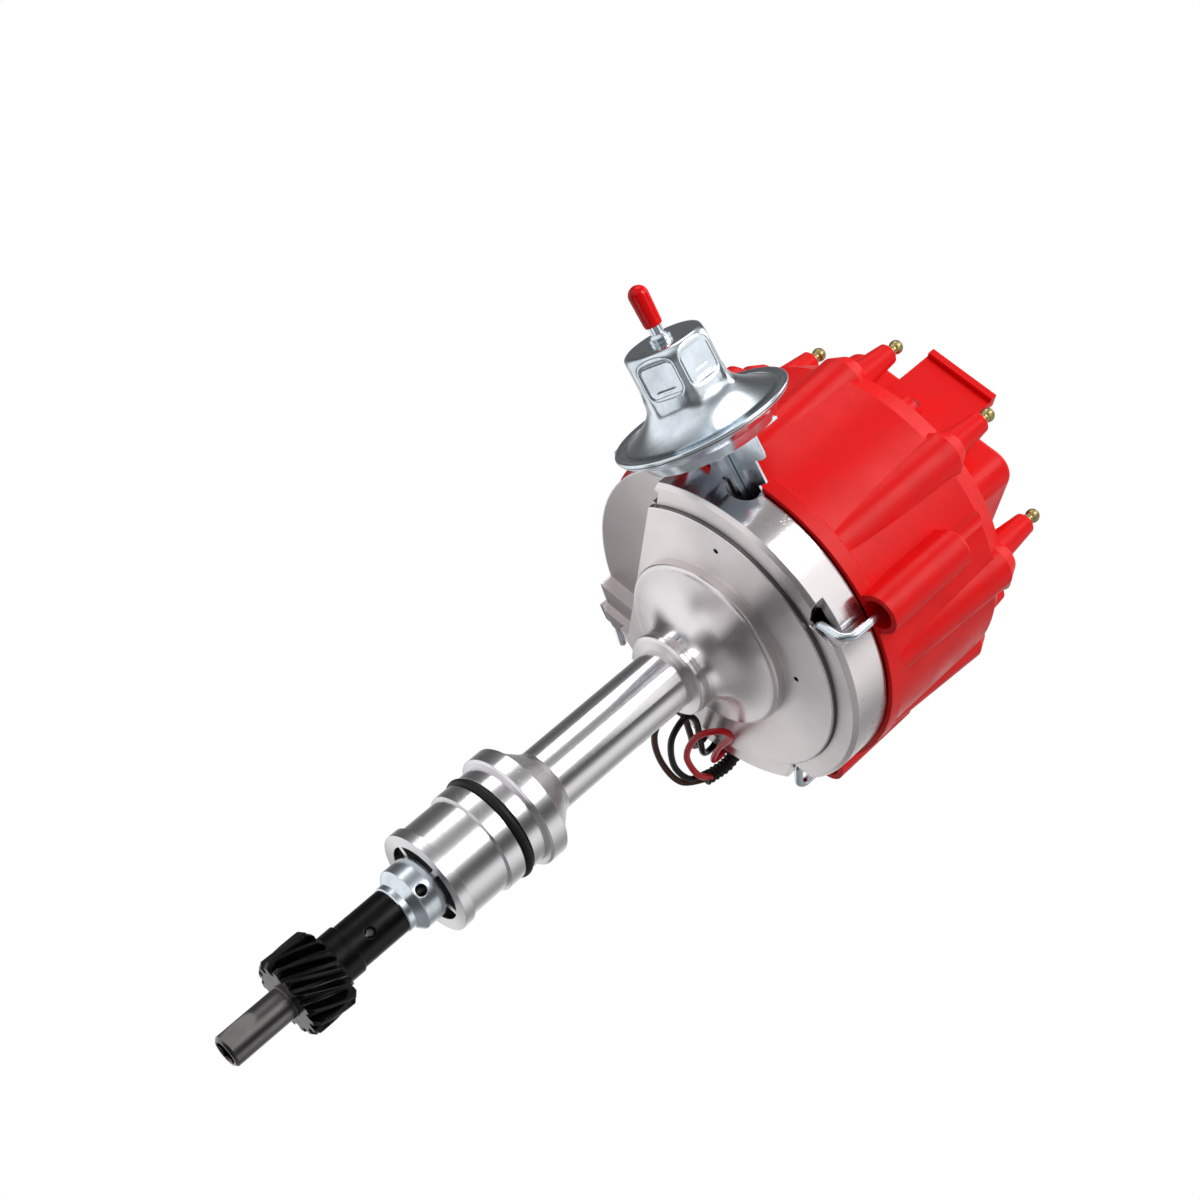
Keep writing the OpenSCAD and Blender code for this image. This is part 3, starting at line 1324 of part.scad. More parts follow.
housing();
upper_bushing();
lower_bushing();
o_ring();
ignition_module();
bowl_screws();
capacitor();
wire_grommet();
wire_red();
wire_black();
wire_brown();
harness_sleeve();
harness_plug();
canister_shell();
canister_back();
canister_bracket();
vacuum_nipple();
nipple_cap();
vacuum_diaphragm();
vacuum_spring();
vacuum_rod();
pickup_plate();
pickup_magnet();
pickup_coil();
pole_piece();
pickup_clip();
drive_shaft();
drive_gear();
gear_pin();
thrust_collar();
collar_pin();
thrust_washer();
centre_cam();
timer_core();
weight_plate();
advance_weight_1();
advance_weight_2();
advance_springs();
rotor();
rotor_contact();
rotor_screws();
distributor_cap();
plug_terminals();
carbon_button();
button_spring();
coil_seal();
coil_core();
coil_winding();
coil_screws();
coil_terminals();
coil_cover();
cover_screws();
latch_springs();
latch_1();
latch_2();
latch_3();
latch_4();
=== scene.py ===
# %% [markdown]
# # A large-cap ignition distributor
# The part in this scene is the distributor of an older eight-cylinder engine. A gear at the
# lower end is driven by the camshaft, a turned aluminium housing drops into the engine block,
# and a red cap as wide as a hand carries the spark to eight plug wires. The solids come from
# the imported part. This notebook gives them finishes, and replaces the few pieces that a solid
# modeller can't make soft: wires, their sleeve, springs, a diaphragm and pressed sheet metal.

import json
import math

import bmesh
import bpy
from mathutils import Matrix, Vector


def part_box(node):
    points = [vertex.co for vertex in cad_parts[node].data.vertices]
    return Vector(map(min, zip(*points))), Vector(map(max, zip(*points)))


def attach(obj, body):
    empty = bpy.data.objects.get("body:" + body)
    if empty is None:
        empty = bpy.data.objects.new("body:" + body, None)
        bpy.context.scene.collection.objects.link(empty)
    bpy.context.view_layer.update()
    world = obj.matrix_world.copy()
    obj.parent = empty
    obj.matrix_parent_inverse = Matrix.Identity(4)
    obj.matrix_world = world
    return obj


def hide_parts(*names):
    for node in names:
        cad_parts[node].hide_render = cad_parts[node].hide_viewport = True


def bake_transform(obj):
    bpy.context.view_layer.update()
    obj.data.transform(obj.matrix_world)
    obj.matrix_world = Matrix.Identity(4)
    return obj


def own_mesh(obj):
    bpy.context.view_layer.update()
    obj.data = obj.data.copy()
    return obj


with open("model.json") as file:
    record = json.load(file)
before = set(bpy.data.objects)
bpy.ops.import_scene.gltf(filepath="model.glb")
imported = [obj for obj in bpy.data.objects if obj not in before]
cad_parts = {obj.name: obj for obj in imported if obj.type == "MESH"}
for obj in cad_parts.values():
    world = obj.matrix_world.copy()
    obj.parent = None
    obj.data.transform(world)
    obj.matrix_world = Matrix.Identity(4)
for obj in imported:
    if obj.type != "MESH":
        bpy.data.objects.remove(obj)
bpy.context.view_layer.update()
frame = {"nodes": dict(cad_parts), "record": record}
nodes = frame["nodes"]
print("solids in the part:", len(nodes))

# %% [markdown]
# Every length below is written in millimetres, as on a workshop drawing, and turned into
# Blender's metres in one place. The part stands on its gear tip with its shaft along Z, and the
# origin is where the housing's shoulder sits on the engine block.

# %% Lengths
MM = 0.001


def mm(x, y, z):
    return Vector((x, y, z)) * MM


# %% [markdown]
# ## Camera
# The photograph looks up at the part from the gear's side. Its place was worked out from the
# round faces of the housing, whose flattening tells how steeply each one is seen. A camera can
# be turned with angles, but three directions are easier to check: right, up, and back.

# %% Camera
CAMERA_PLACE = mm(282.2, 616.3, -269.6)
CAMERA_RIGHT = Vector((-0.4550, 0.5625, 0.6904))
CAMERA_BACK = Vector((0.3256, 0.8267, -0.4589))
FOCAL_SHARE = 2117.4 / 1200

back = CAMERA_BACK.normalized()
right = (CAMERA_RIGHT - back * CAMERA_RIGHT.dot(back)).normalized()
up = back.cross(right)
camera_data = bpy.data.cameras.new("product_camera")
camera_data.sensor_width = 36
camera_data.lens = 36 * FOCAL_SHARE
camera_data.clip_start = 0.01
camera_data.clip_end = 50
camera = bpy.data.objects.new("product_camera", camera_data)
bpy.context.scene.collection.objects.link(camera)
turn = Matrix((right, up, back)).transposed().to_4x4()
camera.matrix_world = Matrix.Translation(CAMERA_PLACE) @ turn
bpy.context.scene.camera = camera
bpy.context.scene.view_settings.view_transform = "Standard"
print("lens in mm:", round(camera_data.lens, 2))

# %% [markdown]
# ## Studio
# Product photographs of polished metal are made in a white tent with a few grey and black cards.
# The white gives clean paper behind the part, and the cards give the dark bands without which
# bare metal looks like plaster. The world below is white to the camera. For everything else it
# is a dimmer light that fades towards the table, because less light comes from below than from
# above, and that difference is what shapes the red cap.

# %% World
LIGHT_ABOVE = 0.66
LIGHT_BELOW = 0.24


def link_or_set(tree, socket, value):
    if isinstance(value, (int, float)):
        socket.default_value = value
    else:
        tree.links.new(value, socket)


def math_node(tree, operation, *values):
    node = tree.nodes.new("ShaderNodeMath")
    node.operation = operation
    for socket, value in zip(node.inputs, values):
        link_or_set(tree, socket, value)
    return node.outputs[0]


world = bpy.data.worlds.new("white_tent")
bpy.context.scene.world = world
world.use_nodes = True
tree = world.node_tree
tree.nodes.clear()
path = tree.nodes.new("ShaderNodeLightPath")
seen = math_node(tree, "MAXIMUM", path.outputs["Is Camera Ray"], path.outputs["Is Glossy Ray"])
seen = math_node(tree, "MAXIMUM", seen, path.outputs["Is Transmission Ray"])
aim = tree.nodes.new("ShaderNodeSeparateXYZ")
tree.links.new(tree.nodes.new("ShaderNodeTexCoord").outputs["Generated"], aim.inputs[0])
fade = tree.nodes.new("ShaderNodeMapRange")
fade.inputs["From Min"].default_value = -0.7
fade.inputs["From Max"].default_value = 0.6
fade.inputs["To Min"].default_value = LIGHT_BELOW
fade.inputs["To Max"].default_value = LIGHT_ABOVE
tree.links.new(aim.outputs[2], fade.inputs["Value"])
paper = tree.nodes.new("ShaderNodeBackground")
paper.inputs["Color"].default_value = (1, 1, 1, 1)
tree.links.new(math_node(tree, "MAXIMUM", seen, fade.outputs["Result"]),
               paper.inputs["Strength"])
sky = tree.nodes.new("ShaderNodeOutputWorld")
tree.links.new(paper.outputs[0], sky.inputs["Surface"])
print("world light:", LIGHT_BELOW, "to", LIGHT_ABOVE)

# %% [markdown]
# The tent's wall stands three metres away all round and only reflections see it. The housing's
# column is a cylinder, so every line along it mirrors one direction of the studio. The first
# list, the wall above the horizon, began as the brightness seen across the column in the
# photograph and was then changed render by render. The second, the wall below the
# horizon, was found by trial against the flat faces under the bowl. Straight down the table is
# dark, which gives the dark ray across the turned faces. Angles are in degrees round the shaft.

# %% Tent wall
UPPER_BANDS = [
    (-180, 0.36), (-162, 0.32), (-146, 0.6), (-128, 0.9), (-110, 0.62), (-92, 0.3), (-76, 0.12),
    (-44, 0.1), (-28, 0.2), (-12, 0.5), (8, 0.68), (21, 0.36), (37, 0.26), (53, 0.9), (74, 1.0),
    (86, 0.5), (98, 0.06), (122, 0.1), (134, 0.9), (152, 0.85), (168, 0.5), (180, 0.36),
]
LOWER_BANDS = [
    (-180, 0.3), (-150, 0.24), (-131, 0.34), (-117, 0.85), (-107, 1.5), (-97, 2.2), (-84, 2.9),
    (-60, 2.9), (-30, 1.9), (0, 1.5), (22, 1.2), (40, 0.5), (58, 0.12), (86, 0.12), (106, 0.3),
    (145, 0.42), (180, 0.3),
]
STRAIGHT_DOWN = 0.08
TENT_RADIUS = 3.0


def ramp_node(tree, factor, stops, low, high):
    node = tree.nodes.new("ShaderNodeValToRGB")
    node.color_ramp.interpolation = "B_SPLINE"
    points = node.color_ramp.elements
    while len(points) > 1:
        points.remove(points[-1])
    for index, (place, value) in enumerate(stops):
        share = (place - low) / (high - low)
        point = points[0] if index == 0 else points.new(share)
        point.position = share
        point.color = (value, value, value, 1)
    tree.links.new(factor, node.inputs["Fac"])
    return node.outputs["Color"]


tent_paint = bpy.data.materials.new("tent_wall")
tent_paint.use_nodes = True
tree = tent_paint.node_tree
tree.nodes.clear()
place = tree.nodes.new("ShaderNodeNewGeometry")
split = tree.nodes.new("ShaderNodeSeparateXYZ")
tree.links.new(place.outputs["Position"], split.inputs[0])
turn_share = math_node(tree, "ARCTAN2", split.outputs[1], split.outputs[0])
turn_share = math_node(tree, "MULTIPLY_ADD", turn_share, 0.5 / math.pi, 0.5)
upper = ramp_node(tree, turn_share, UPPER_BANDS, -180, 180)
lower = ramp_node(tree, turn_share, LOWER_BANDS, -180, 180)
horizon = tree.nodes.new("ShaderNodeMapRange")
horizon.interpolation_type = "SMOOTHSTEP"
horizon.inputs["From Min"].default_value = -0.12 * TENT_RADIUS
horizon.inputs["From Max"].default_value = 0.2 * TENT_RADIUS
tree.links.new(split.outputs[2], horizon.inputs["Value"])
wall = tree.nodes.new("ShaderNodeMix")
wall.data_type = "RGBA"
tree.links.new(horizon.outputs["Result"], wall.inputs["Factor"])
tree.links.new(lower, wall.inputs["A"])
tree.links.new(upper, wall.inputs["B"])
table = tree.nodes.new("ShaderNodeMapRange")
table.interpolation_type = "SMOOTHSTEP"
table.inputs["From Min"].default_value = -0.93 * TENT_RADIUS
table.inputs["From Max"].default_value = -0.66 * TENT_RADIUS
tree.links.new(split.outputs[2], table.inputs["Value"])
whole = tree.nodes.new("ShaderNodeMix")
whole.data_type = "RGBA"
tree.links.new(table.outputs["Result"], whole.inputs["Factor"])
whole.inputs["A"].default_value = (STRAIGHT_DOWN, STRAIGHT_DOWN, STRAIGHT_DOWN, 1)
tree.links.new(wall.outputs["Result"], whole.inputs["B"])
glow = tree.nodes.new("ShaderNodeEmission")
tree.links.new(whole.outputs["Result"], glow.inputs["Color"])
tree.links.new(glow.outputs[0], tree.nodes.new("ShaderNodeOutputMaterial").inputs["Surface"])

ball = bmesh.new()
bmesh.ops.create_uvsphere(ball, u_segments=64, v_segments=32, radius=TENT_RADIUS)
tent_mesh = bpy.data.meshes.new("tent")
ball.to_mesh(tent_mesh)
ball.free()
tent_mesh.materials.append(tent_paint)
tent = bpy.data.objects.new("tent", tent_mesh)


def only_in_reflections(thing):
    bpy.context.scene.collection.objects.link(thing)
    for ray in ("camera", "diffuse", "transmission", "volume_scatter", "shadow"):
        setattr(thing, "visible_" + ray, False)


only_in_reflections(tent)
print("tent bands:", len(UPPER_BANDS) + len(LOWER_BANDS))

# %% [markdown]
# Two white cards stand near the vacuum can, one beside it and one low under it. The can is off to
# one side, so cards close by whiten its flats and leave the column's dark band as it is. Far
# cards would do both.

# %% Cards near the vacuum can
CARDS = {"side_card": (30, 215, 222), "low_card": (92, 34, -112)}
CARD_HALF = 78
CAN_MIDDLE = (101, 34, 123)

card_paint = bpy.data.materials.new("white_card")
card_paint.use_nodes = True
tree = card_paint.node_tree
tree.nodes.clear()
glow = tree.nodes.new("ShaderNodeEmission")
glow.inputs["Strength"].default_value = 1.0
tree.links.new(glow.outputs[0], tree.nodes.new("ShaderNodeOutputMaterial").inputs["Surface"])
card_mesh = bpy.data.meshes.new("white_card")
corners = [(x * CARD_HALF, y * CARD_HALF, 0) for x, y in ((-1, -1), (1, -1), (1, 1), (-1, 1))]
card_mesh.from_pydata([mm(*painted_corner_shade) for painted_corner_shade in corners], [], [(0, 1, 2, 3)])
card_mesh.materials.append(card_paint)
for name, place in CARDS.items():
    card = bpy.data.objects.new(name, card_mesh)
    facing = mm(*CAN_MIDDLE) - mm(*place)
    turn = facing.to_track_quat("Z", "Y").to_matrix().to_4x4()
    card.matrix_world = Matrix.Translation(mm(*place)) @ turn
    only_in_reflections(card)
    print(name, "is this far from the can in mm:", round(facing.length / MM))

# %% [markdown]
# The floor is pale and plain, and the part stands on its tip. The photograph was taken from
# below that level, so the floor is a sheet that can be seen from above and not from below.

# %% Floor
FLOOR_Z = -124.9

floor_paint = bpy.data.materials.new("pale_floor")
floor_paint.use_nodes = True
tree = floor_paint.node_tree
shader = tree.nodes["Principled BSDF"]
shader.inputs["Base Color"].default_value = (0.82, 0.82, 0.81, 1)
shader.inputs["Roughness"].default_value = 0.7
side = tree.nodes.new("ShaderNodeNewGeometry")
clear = tree.nodes.new("ShaderNodeBsdfTransparent")
either = tree.nodes.new("ShaderNodeMixShader")
tree.links.new(side.outputs["Backfacing"], either.inputs["Fac"])
tree.links.new(shader.outputs[0], either.inputs[1])
tree.links.new(clear.outputs[0], either.inputs[2])
tree.links.new(either.outputs[0], tree.nodes["Material Output"].inputs["Surface"])
floor_mesh = bpy.data.meshes.new("floor")
floor_mesh.from_pydata([(x, y, FLOOR_Z * MM) for x, y in ((-2, -2), (2, -2), (2, 2), (-2, 2))],
                       [], [(0, 1, 2, 3)])
floor_mesh.materials.append(floor_paint)
floor = bpy.data.objects.new("floor", floor_mesh)
bpy.context.scene.collection.objects.link(floor)
floor.visible_glossy = False
floor.visible_diffuse = False
print("floor at mm:", FLOOR_Z)

# %% [markdown]
# Two broad lamps stand where the column shows its two whitest lines. A third, weaker one hangs
# over the cap for views from above. A broad lamp has a soft edge in every reflection.

# %% Lamps
LAMPS = {
    "key_lamp": (66, 31, 1.3, 0.8, 7.2),
    "side_lamp": (-4, 30, 1.3, 0.8, 2.6),
    "top_lamp": (40, 80, 1.5, 0.9, 2.4),
}
AIM = mm(0, 0, 80)


def add_lamp(name, azimuth, height, distance, size, power):
    a, e = math.radians(azimuth), math.radians(height)
    away = Vector((math.cos(a) * math.cos(e), math.sin(a) * math.cos(e), math.sin(e)))
    lamp_data = bpy.data.lights.new(name, "AREA")
    lamp_data.shape = "DISK"
    lamp_data.size = size
    lamp_data.energy = power
    lamp = bpy.data.objects.new(name, lamp_data)
    bpy.context.scene.collection.objects.link(lamp)
    lamp.location = AIM + away * distance
    lamp.rotation_euler = away.to_track_quat("Z", "Y").to_euler()
    return lamp


for name, setup in LAMPS.items():
    add_lamp(name, *setup)
print("lamps:", len(LAMPS))

# %% [markdown]
# ## Finishes
# A finish is a shader with an effect or two laid over it. Effects that several finishes share,
# such as the marks of a lathe, are node groups with named inputs, like a small machine with
# knobs. A group gives out heights and masks only, and each material wires them into its own
# shader.

# %% Node group helper
def start_group(name, inputs, outputs):
    group = bpy.data.node_groups.new(name, "ShaderNodeTree")
    for label, kind, value in inputs:
        socket = group.interface.new_socket(label, in_out="INPUT", socket_type=kind)
        if value is not None:
            socket.default_value = value
    for label in outputs:
        group.interface.new_socket(label, in_out="OUTPUT", socket_type="NodeSocketFloat")
    feed = group.nodes.new("NodeGroupInput")
    result = group.nodes.new("NodeGroupOutput")
    return group, feed, result


def noise_node(tree, vector, scale, detail=2.0, rough=0.5):
    node = tree.nodes.new("ShaderNodeTexNoise")
    tree.links.new(vector, node.inputs["Vector"])
    link_or_set(tree, node.inputs["Scale"], scale)
    node.inputs["Detail"].default_value = detail
    node.inputs["Roughness"].default_value = rough
    return node.outputs["Fac"]


print("helpers ready")

# %% [markdown]
# A lathe leaves fine rings: circles on a face, hoops on a wall. Both are the same thing when
# looked at by radius and height, so the noise is read at (radius, height) and not at a point in
# space. A second, slower reading gives the broader bands that a blunt tool leaves.

# %% Lathe marks
lathe, feed, result = start_group(
    "lathe_marks",
    [
        ("Position", "NodeSocketVector", None),
        ("Rings per metre", "NodeSocketFloat", 2500.0),
    ],
    ["Fine", "Broad"],
)
split = lathe.nodes.new("ShaderNodeSeparateXYZ")
lathe.links.new(feed.outputs["Position"], split.inputs[0])
radius_squared = math_node(
    lathe, "MULTIPLY_ADD", split.outputs[1], split.outputs[1],
    math_node(lathe, "MULTIPLY", split.outputs[0], split.outputs[0]),
)
radius = math_node(lathe, "SQRT", radius_squared)
section = lathe.nodes.new("ShaderNodeCombineXYZ")
lathe.links.new(radius, section.inputs[0])
lathe.links.new(split.outputs[2], section.inputs[1])
lathe.links.new(
    noise_node(lathe, section.outputs[0], feed.outputs["Rings per metre"], 1.0),
    result.inputs["Fine"],
)
lathe.links.new(noise_node(lathe, section.outputs[0], 320.0, 2.0), result.inputs["Broad"])
print("group:", lathe.name)

# %% [markdown]
# Handling leaves cloudy smudges and short hairline scratches. The clouds are slow noise. The
# scratches are noise stretched along one direction and cut at a high level, so that only a few
# thin lines are left.

# %% Handling marks
handling, feed, result = start_group(
    "handling_marks",
    [
        ("Position", "NodeSocketVector", None),
        ("Cloud scale", "NodeSocketFloat", 60.0),
    ],
    ["Clouds", "Scratches"],
)
handling.links.new(
    noise_node(handling, feed.outputs["Position"], feed.outputs["Cloud scale"], 4.0, 0.6),
    result.inputs["Clouds"],
)
stretch = handling.nodes.new("ShaderNodeMapping")
stretch.inputs["Rotation"].default_value = (0.4, 0.9, 0.3)
stretch.inputs["Scale"].default_value = (1.0, 14.0, 3.0)
handling.links.new(feed.outputs["Position"], stretch.inputs["Vector"])
streaks = noise_node(handling, stretch.outputs[0], 260.0, 3.0, 0.7)
thin = handling.nodes.new("ShaderNodeMapRange")
thin.inputs["From Min"].default_value = 0.66
thin.inputs["From Max"].default_value = 0.72
handling.links.new(streaks, thin.inputs["Value"])
handling.links.new(thin.outputs["Result"], result.inputs["Scratches"])
print("group:", handling.name)

# %% [markdown]
# Moulded plastic, cast metal, phosphate and rubber have a skin: small soft bumps with a slower
# unevenness under them. One group serves them all, with its own grain for each.

# %% Skin
skin, feed, result = start_group(
    "skin",
    [
        ("Position", "NodeSocketVector", None),
        ("Grains per metre", "NodeSocketFloat", 1800.0),
    ],
    ["Grain", "Unevenness"],
)
skin.links.new(
    noise_node(skin, feed.outputs["Position"], feed.outputs["Grains per metre"], 2.0, 0.55),
    result.inputs["Grain"],
)
slow = math_node(skin, "MULTIPLY", feed.outputs["Grains per metre"], 0.06)
skin.links.new(
    noise_node(skin, feed.outputs["Position"], slow, 3.0, 0.55),
    result.inputs["Unevenness"],
)
print("group:", skin.name)

# %% [markdown]
# The helper below starts a material: a shader with its plain values on its own sockets, the
# position in the part's own frame, and a rounded-edge normal. Real edges are never sharp. The
# Bevel node turns the normal near an edge, so every edge catches a thin line of light without a
# single extra face.

# %% Material helper
EDGE_ROUNDING = 0.35 * MM


class Finish:
    def __init__(self, name, color, roughness, metallic=0.0, edge=EDGE_ROUNDING):
        self.material = bpy.data.materials.new(name)
        self.material.use_nodes = True
        self.tree = self.material.node_tree
        self.shader = self.tree.nodes["Principled BSDF"]
        self.color = color
        self.roughness = roughness
        self.shader.inputs["Base Color"].default_value = (*color, 1)
        self.shader.inputs["Roughness"].default_value = roughness
        self.shader.inputs["Metallic"].default_value = metallic
        self.position = self.tree.nodes.new("ShaderNodeTexCoord").outputs["Object"]
        rounded = self.tree.nodes.new("ShaderNodeBevel")
        rounded.samples = 4
        rounded.inputs["Radius"].default_value = edge
        self.normal = rounded.outputs["Normal"]
        self.tree.links.new(self.normal, self.shader.inputs["Normal"])

    def set(self, **values):
        for label, value in values.items():
            self.shader.inputs[label.replace("_", " ")].default_value = value
        return self

    def effect(self, group, **knobs):
        node = self.tree.nodes.new("ShaderNodeGroup")
        node.node_tree = group
        self.tree.links.new(self.position, node.inputs["Position"])
        for label, value in knobs.items():
            node.inputs[label.replace("_", " ")].default_value = value
        return node.outputs

    def ranged(self, value, low, high, start=0.0, end=1.0):
        node = self.tree.nodes.new("ShaderNodeMapRange")
        node.inputs["From Min"].default_value = start
        node.inputs["From Max"].default_value = end
        node.inputs["To Min"].default_value = low
        node.inputs["To Max"].default_value = high
        self.tree.links.new(value, node.inputs["Value"])
        return node.outputs["Result"]

    def mixed(self, mask, first, second):
        node = self.tree.nodes.new("ShaderNodeMix")
        node.data_type = "RGBA"
        self.tree.links.new(mask, node.inputs["Factor"])
        for socket, value in ((node.inputs["A"], first), (node.inputs["B"], second)):
            if isinstance(value, tuple):
                socket.default_value = (*value, 1)
            else:
                self.tree.links.new(value, socket)
        return node.outputs["Result"]

    def paint(self, color):
        self.painted = color
        self.tree.links.new(color, self.shader.inputs["Base Color"])
        return self

    def parts(self):
        """The position's x, y, z and its distance from the shaft's axis."""
        split = self.tree.nodes.new("ShaderNodeSeparateXYZ")
        self.tree.links.new(self.position, split.inputs[0])
        x, y, z = split.outputs
        squares = math_node(self.tree, "MULTIPLY_ADD", y, y, math_node(self.tree, "MULTIPLY", x, x))
        return x, y, z, math_node(self.tree, "SQRT", squares)

    def above(self, value, limit, soft=0.02):
        """1 where a length is above a limit in mm, 0 where it is below."""
        return self.ranged(value, 0.0, 1.0, (limit - soft) * MM, (limit + soft) * MM)

    def below(self, value, limit, soft=0.02):
        return math_node(self.tree, "SUBTRACT", 1.0, self.above(value, limit, soft))

    def turned(self, amount):
        """Stretch highlights across the circular marks of a lathe."""
        x, y, z, r = self.parts()
        hoop = self.tree.nodes.new("ShaderNodeCombineXYZ")
        self.tree.links.new(math_node(self.tree, "MULTIPLY", y, -1.0), hoop.inputs[0])
        self.tree.links.new(x, hoop.inputs[1])
        across = self.tree.nodes.new("ShaderNodeVectorMath")
        across.operation = "CROSS_PRODUCT"
        face = self.tree.nodes.new("ShaderNodeNewGeometry")
        self.tree.links.new(face.outputs["Normal"], across.inputs[0])
        self.tree.links.new(hoop.outputs[0], across.inputs[1])
        self.tree.links.new(across.outputs[0], self.shader.inputs["Tangent"])
        link_or_set(self.tree, self.shader.inputs["Anisotropic"], amount)
        return self

    def facing_up(self):
        """0 on upright walls, 1 on flat faces square to the shaft."""
        face = self.tree.nodes.new("ShaderNodeNewGeometry")
        split = self.tree.nodes.new("ShaderNodeSeparateXYZ")
        self.tree.links.new(face.outputs["Normal"], split.inputs[0])
        return self.ranged(math_node(self.tree, "ABSOLUTE", split.outputs[2]), 0.0, 1.0, 0.3, 0.95)

    def rough(self, value):
        self.tree.links.new(value, self.shader.inputs["Roughness"])
        return self

    def bump(self, height, depth):
        node = self.tree.nodes.new("ShaderNodeBump")
        node.inputs["Strength"].default_value = 1.0
        node.inputs["Distance"].default_value = depth * MM
        self.tree.links.new(height, node.inputs["Height"])
        self.tree.links.new(self.normal, node.inputs["Normal"])
        self.normal = node.outputs["Normal"]
        self.tree.links.new(self.normal, self.shader.inputs["Normal"])
        return self

    def wear(self, group, cloud_scale, low, high, tint=0.9):
        marks = self.effect(group, Cloud_scale=cloud_scale)
        self.rough(self.ranged(marks["Clouds"], low, high, 0.3, 0.7))
        dark = tuple(c * tint for c in self.color)
        self.paint(self.mixed(self.ranged(marks["Clouds"], 0.0, 1.0, 0.35, 0.75), self.color, dark))
        return marks


print("edge rounding in mm:", EDGE_ROUNDING / MM)

# %% [markdown]
# ## Bare and plated metals
# The housing is an aluminium casting, turned on a lathe nearly all over and left bare. Three other
# surfaces are left on it: a milled recess, the casting's own skin behind it, and a worn, pitted
# wall where the bowl was handled. One material can carry all four, because each lies in its own
# range of radius and height. Four materials on one solid would need its faces sorted by hand.

# %% Where the housing's surfaces are, in mm
RECESS_FROM = 37.45
RECESS_FOOT = 105.7
CAST_FROM_Z = 119.0
FACE_EDGE = 65.6
CAST_FROM_R = 66.1
WALL_FROM = 65.7
WALL_FOOT = 107.8
# painted shade: the dark ring in the corner at the disc's edge lies between these radii and heights
CORNER_RING = (56.9, 57.4)
CORNER_FOOT = 105.4
# painted shade: the black line on the wall under the cap's rim starts at this height
RIM_GAP = 124.3
COLUMN_TOP = 85


def product(tree, *masks):
    result = masks[0]
    for mask in masks[1:]:
        result = math_node(tree, "MULTIPLY", result, mask)
    return result


print("the recess starts this far from the axis:", RECESS_FROM)

# %% [markdown]
# The colours are laid over each other from the widest surface to the smallest. Painted shade comes
# last: a dark ring in the corner at the disc's edge, and a black line on the wall under the cap's
# rim, where the gap between wall and cap is in shade. Lathe marks stretch every highlight across
# themselves. That is what anisotropy does, so the flat faces, which the tool crossed in circles,
# get more of it than the walls.

# %% Turned aluminium
finishes = {}


def housing_masks(f, marks, pits):
    x, y, z, r = f.parts()
    depth = math_node(f.tree, "MULTIPLY", math_node(f.tree, "SUBTRACT", x, y), math.sqrt(0.5))
    inside = math_node(f.tree, "SUBTRACT", 1.0, f.above(r, FACE_EDGE))
    milled = product(f.tree, f.above(depth, RECESS_FROM), inside, f.above(z, RECESS_FOOT))
    cast = math_node(f.tree, "MAXIMUM", f.above(r, CAST_FROM_R),
                     product(f.tree, milled, f.above(z, CAST_FROM_Z)))
    wall = product(f.tree, f.above(r, WALL_FROM), f.above(z, WALL_FOOT))
    worn = product(f.tree, wall, f.ranged(marks["Clouds"], 0.0, 1.0, 0.5, 0.62))
    pitted = product(f.tree, f.ranged(pits["Grain"], 0.0, 0.7, 0.61, 0.67), worn)
    # painted shade: a dark ring in the corner at the disc's edge
    painted_corner_shade = product(f.tree, f.above(r, CORNER_RING[0]), f.below(r, CORNER_RING[1]),
                     f.above(z, CORNER_FOOT), f.below(z, WALL_FOOT))
    # painted shade: a black line on the wall under the cap's rim, where the gap is in shade
    painted_gap_shade = product(f.tree, f.above(r, WALL_FROM), f.above(z, RIM_GAP, 0.25))
    column = f.below(z, COLUMN_TOP, 25)
    return column, milled, cast, worn, pitted, painted_corner_shade, painted_gap_shade


def turned_aluminium():
    f = Finish("turned_aluminium", (0.84, 0.79, 0.795), 0.18, 1.0)
    marks = f.effect(handling, Cloud_scale=38.0)
    rings = f.effect(lathe, Rings_per_metre=2400.0)
    grain = f.effect(skin, Grains_per_metre=1500.0)
    pits = f.effect(skin, Grains_per_metre=700.0)
    column, milled, cast, worn, pitted, painted_corner_shade, painted_gap_shade = housing_masks(f, marks, pits)

    color = f.mixed(f.ranged(marks["Clouds"], 0, 1, 0.35, 0.75), f.color, (0.77, 0.715, 0.72))
    for mask, layer in (
        (column, (0.80, 0.79, 0.80)),
        (milled, (0.76, 0.71, 0.715)),
        (cast, (0.50, 0.47, 0.475)),
        (pitted, (0.16, 0.15, 0.15)),
        # painted shade in the corner at the disc's edge
        (painted_corner_shade, (0.22, 0.205, 0.205)),
        # painted shade in the gap under the cap's rim
        (painted_gap_shade, (0.03, 0.02, 0.02)),
    ):
        color = f.mixed(mask, color, layer)
    f.paint(color)

    dull = f.ranged(f.facing_up(), 0.15, 0.31)
    clouds = f.ranged(marks["Clouds"], 0, 1, 0.3, 0.7)
    for mask, more in ((clouds, 0.06), (milled, 0.22), (cast, 0.15), (worn, 0.08)):
        dull = math_node(f.tree, "MULTIPLY_ADD", mask, more, dull)
    f.rough(dull)
    f.turned(f.ranged(f.facing_up(), 0.6, 0.98))

    f.bump(rings["Fine"], 0.016).bump(rings["Broad"], 0.022)
    rough_skin = math_node(f.tree, "MAXIMUM", cast, math_node(f.tree, "MULTIPLY", milled, 0.3))
    f.bump(product(f.tree, grain["Grain"], rough_skin), 0.12)
    f.bump(math_node(f.tree, "MULTIPLY", pitted, -1.0), 0.08)
    f.bump(math_node(f.tree, "MULTIPLY", marks["Scratches"], -1.0), 0.008)
    return f


finishes["turned_aluminium"] = turned_aluminium()
print("made:", list(finishes))

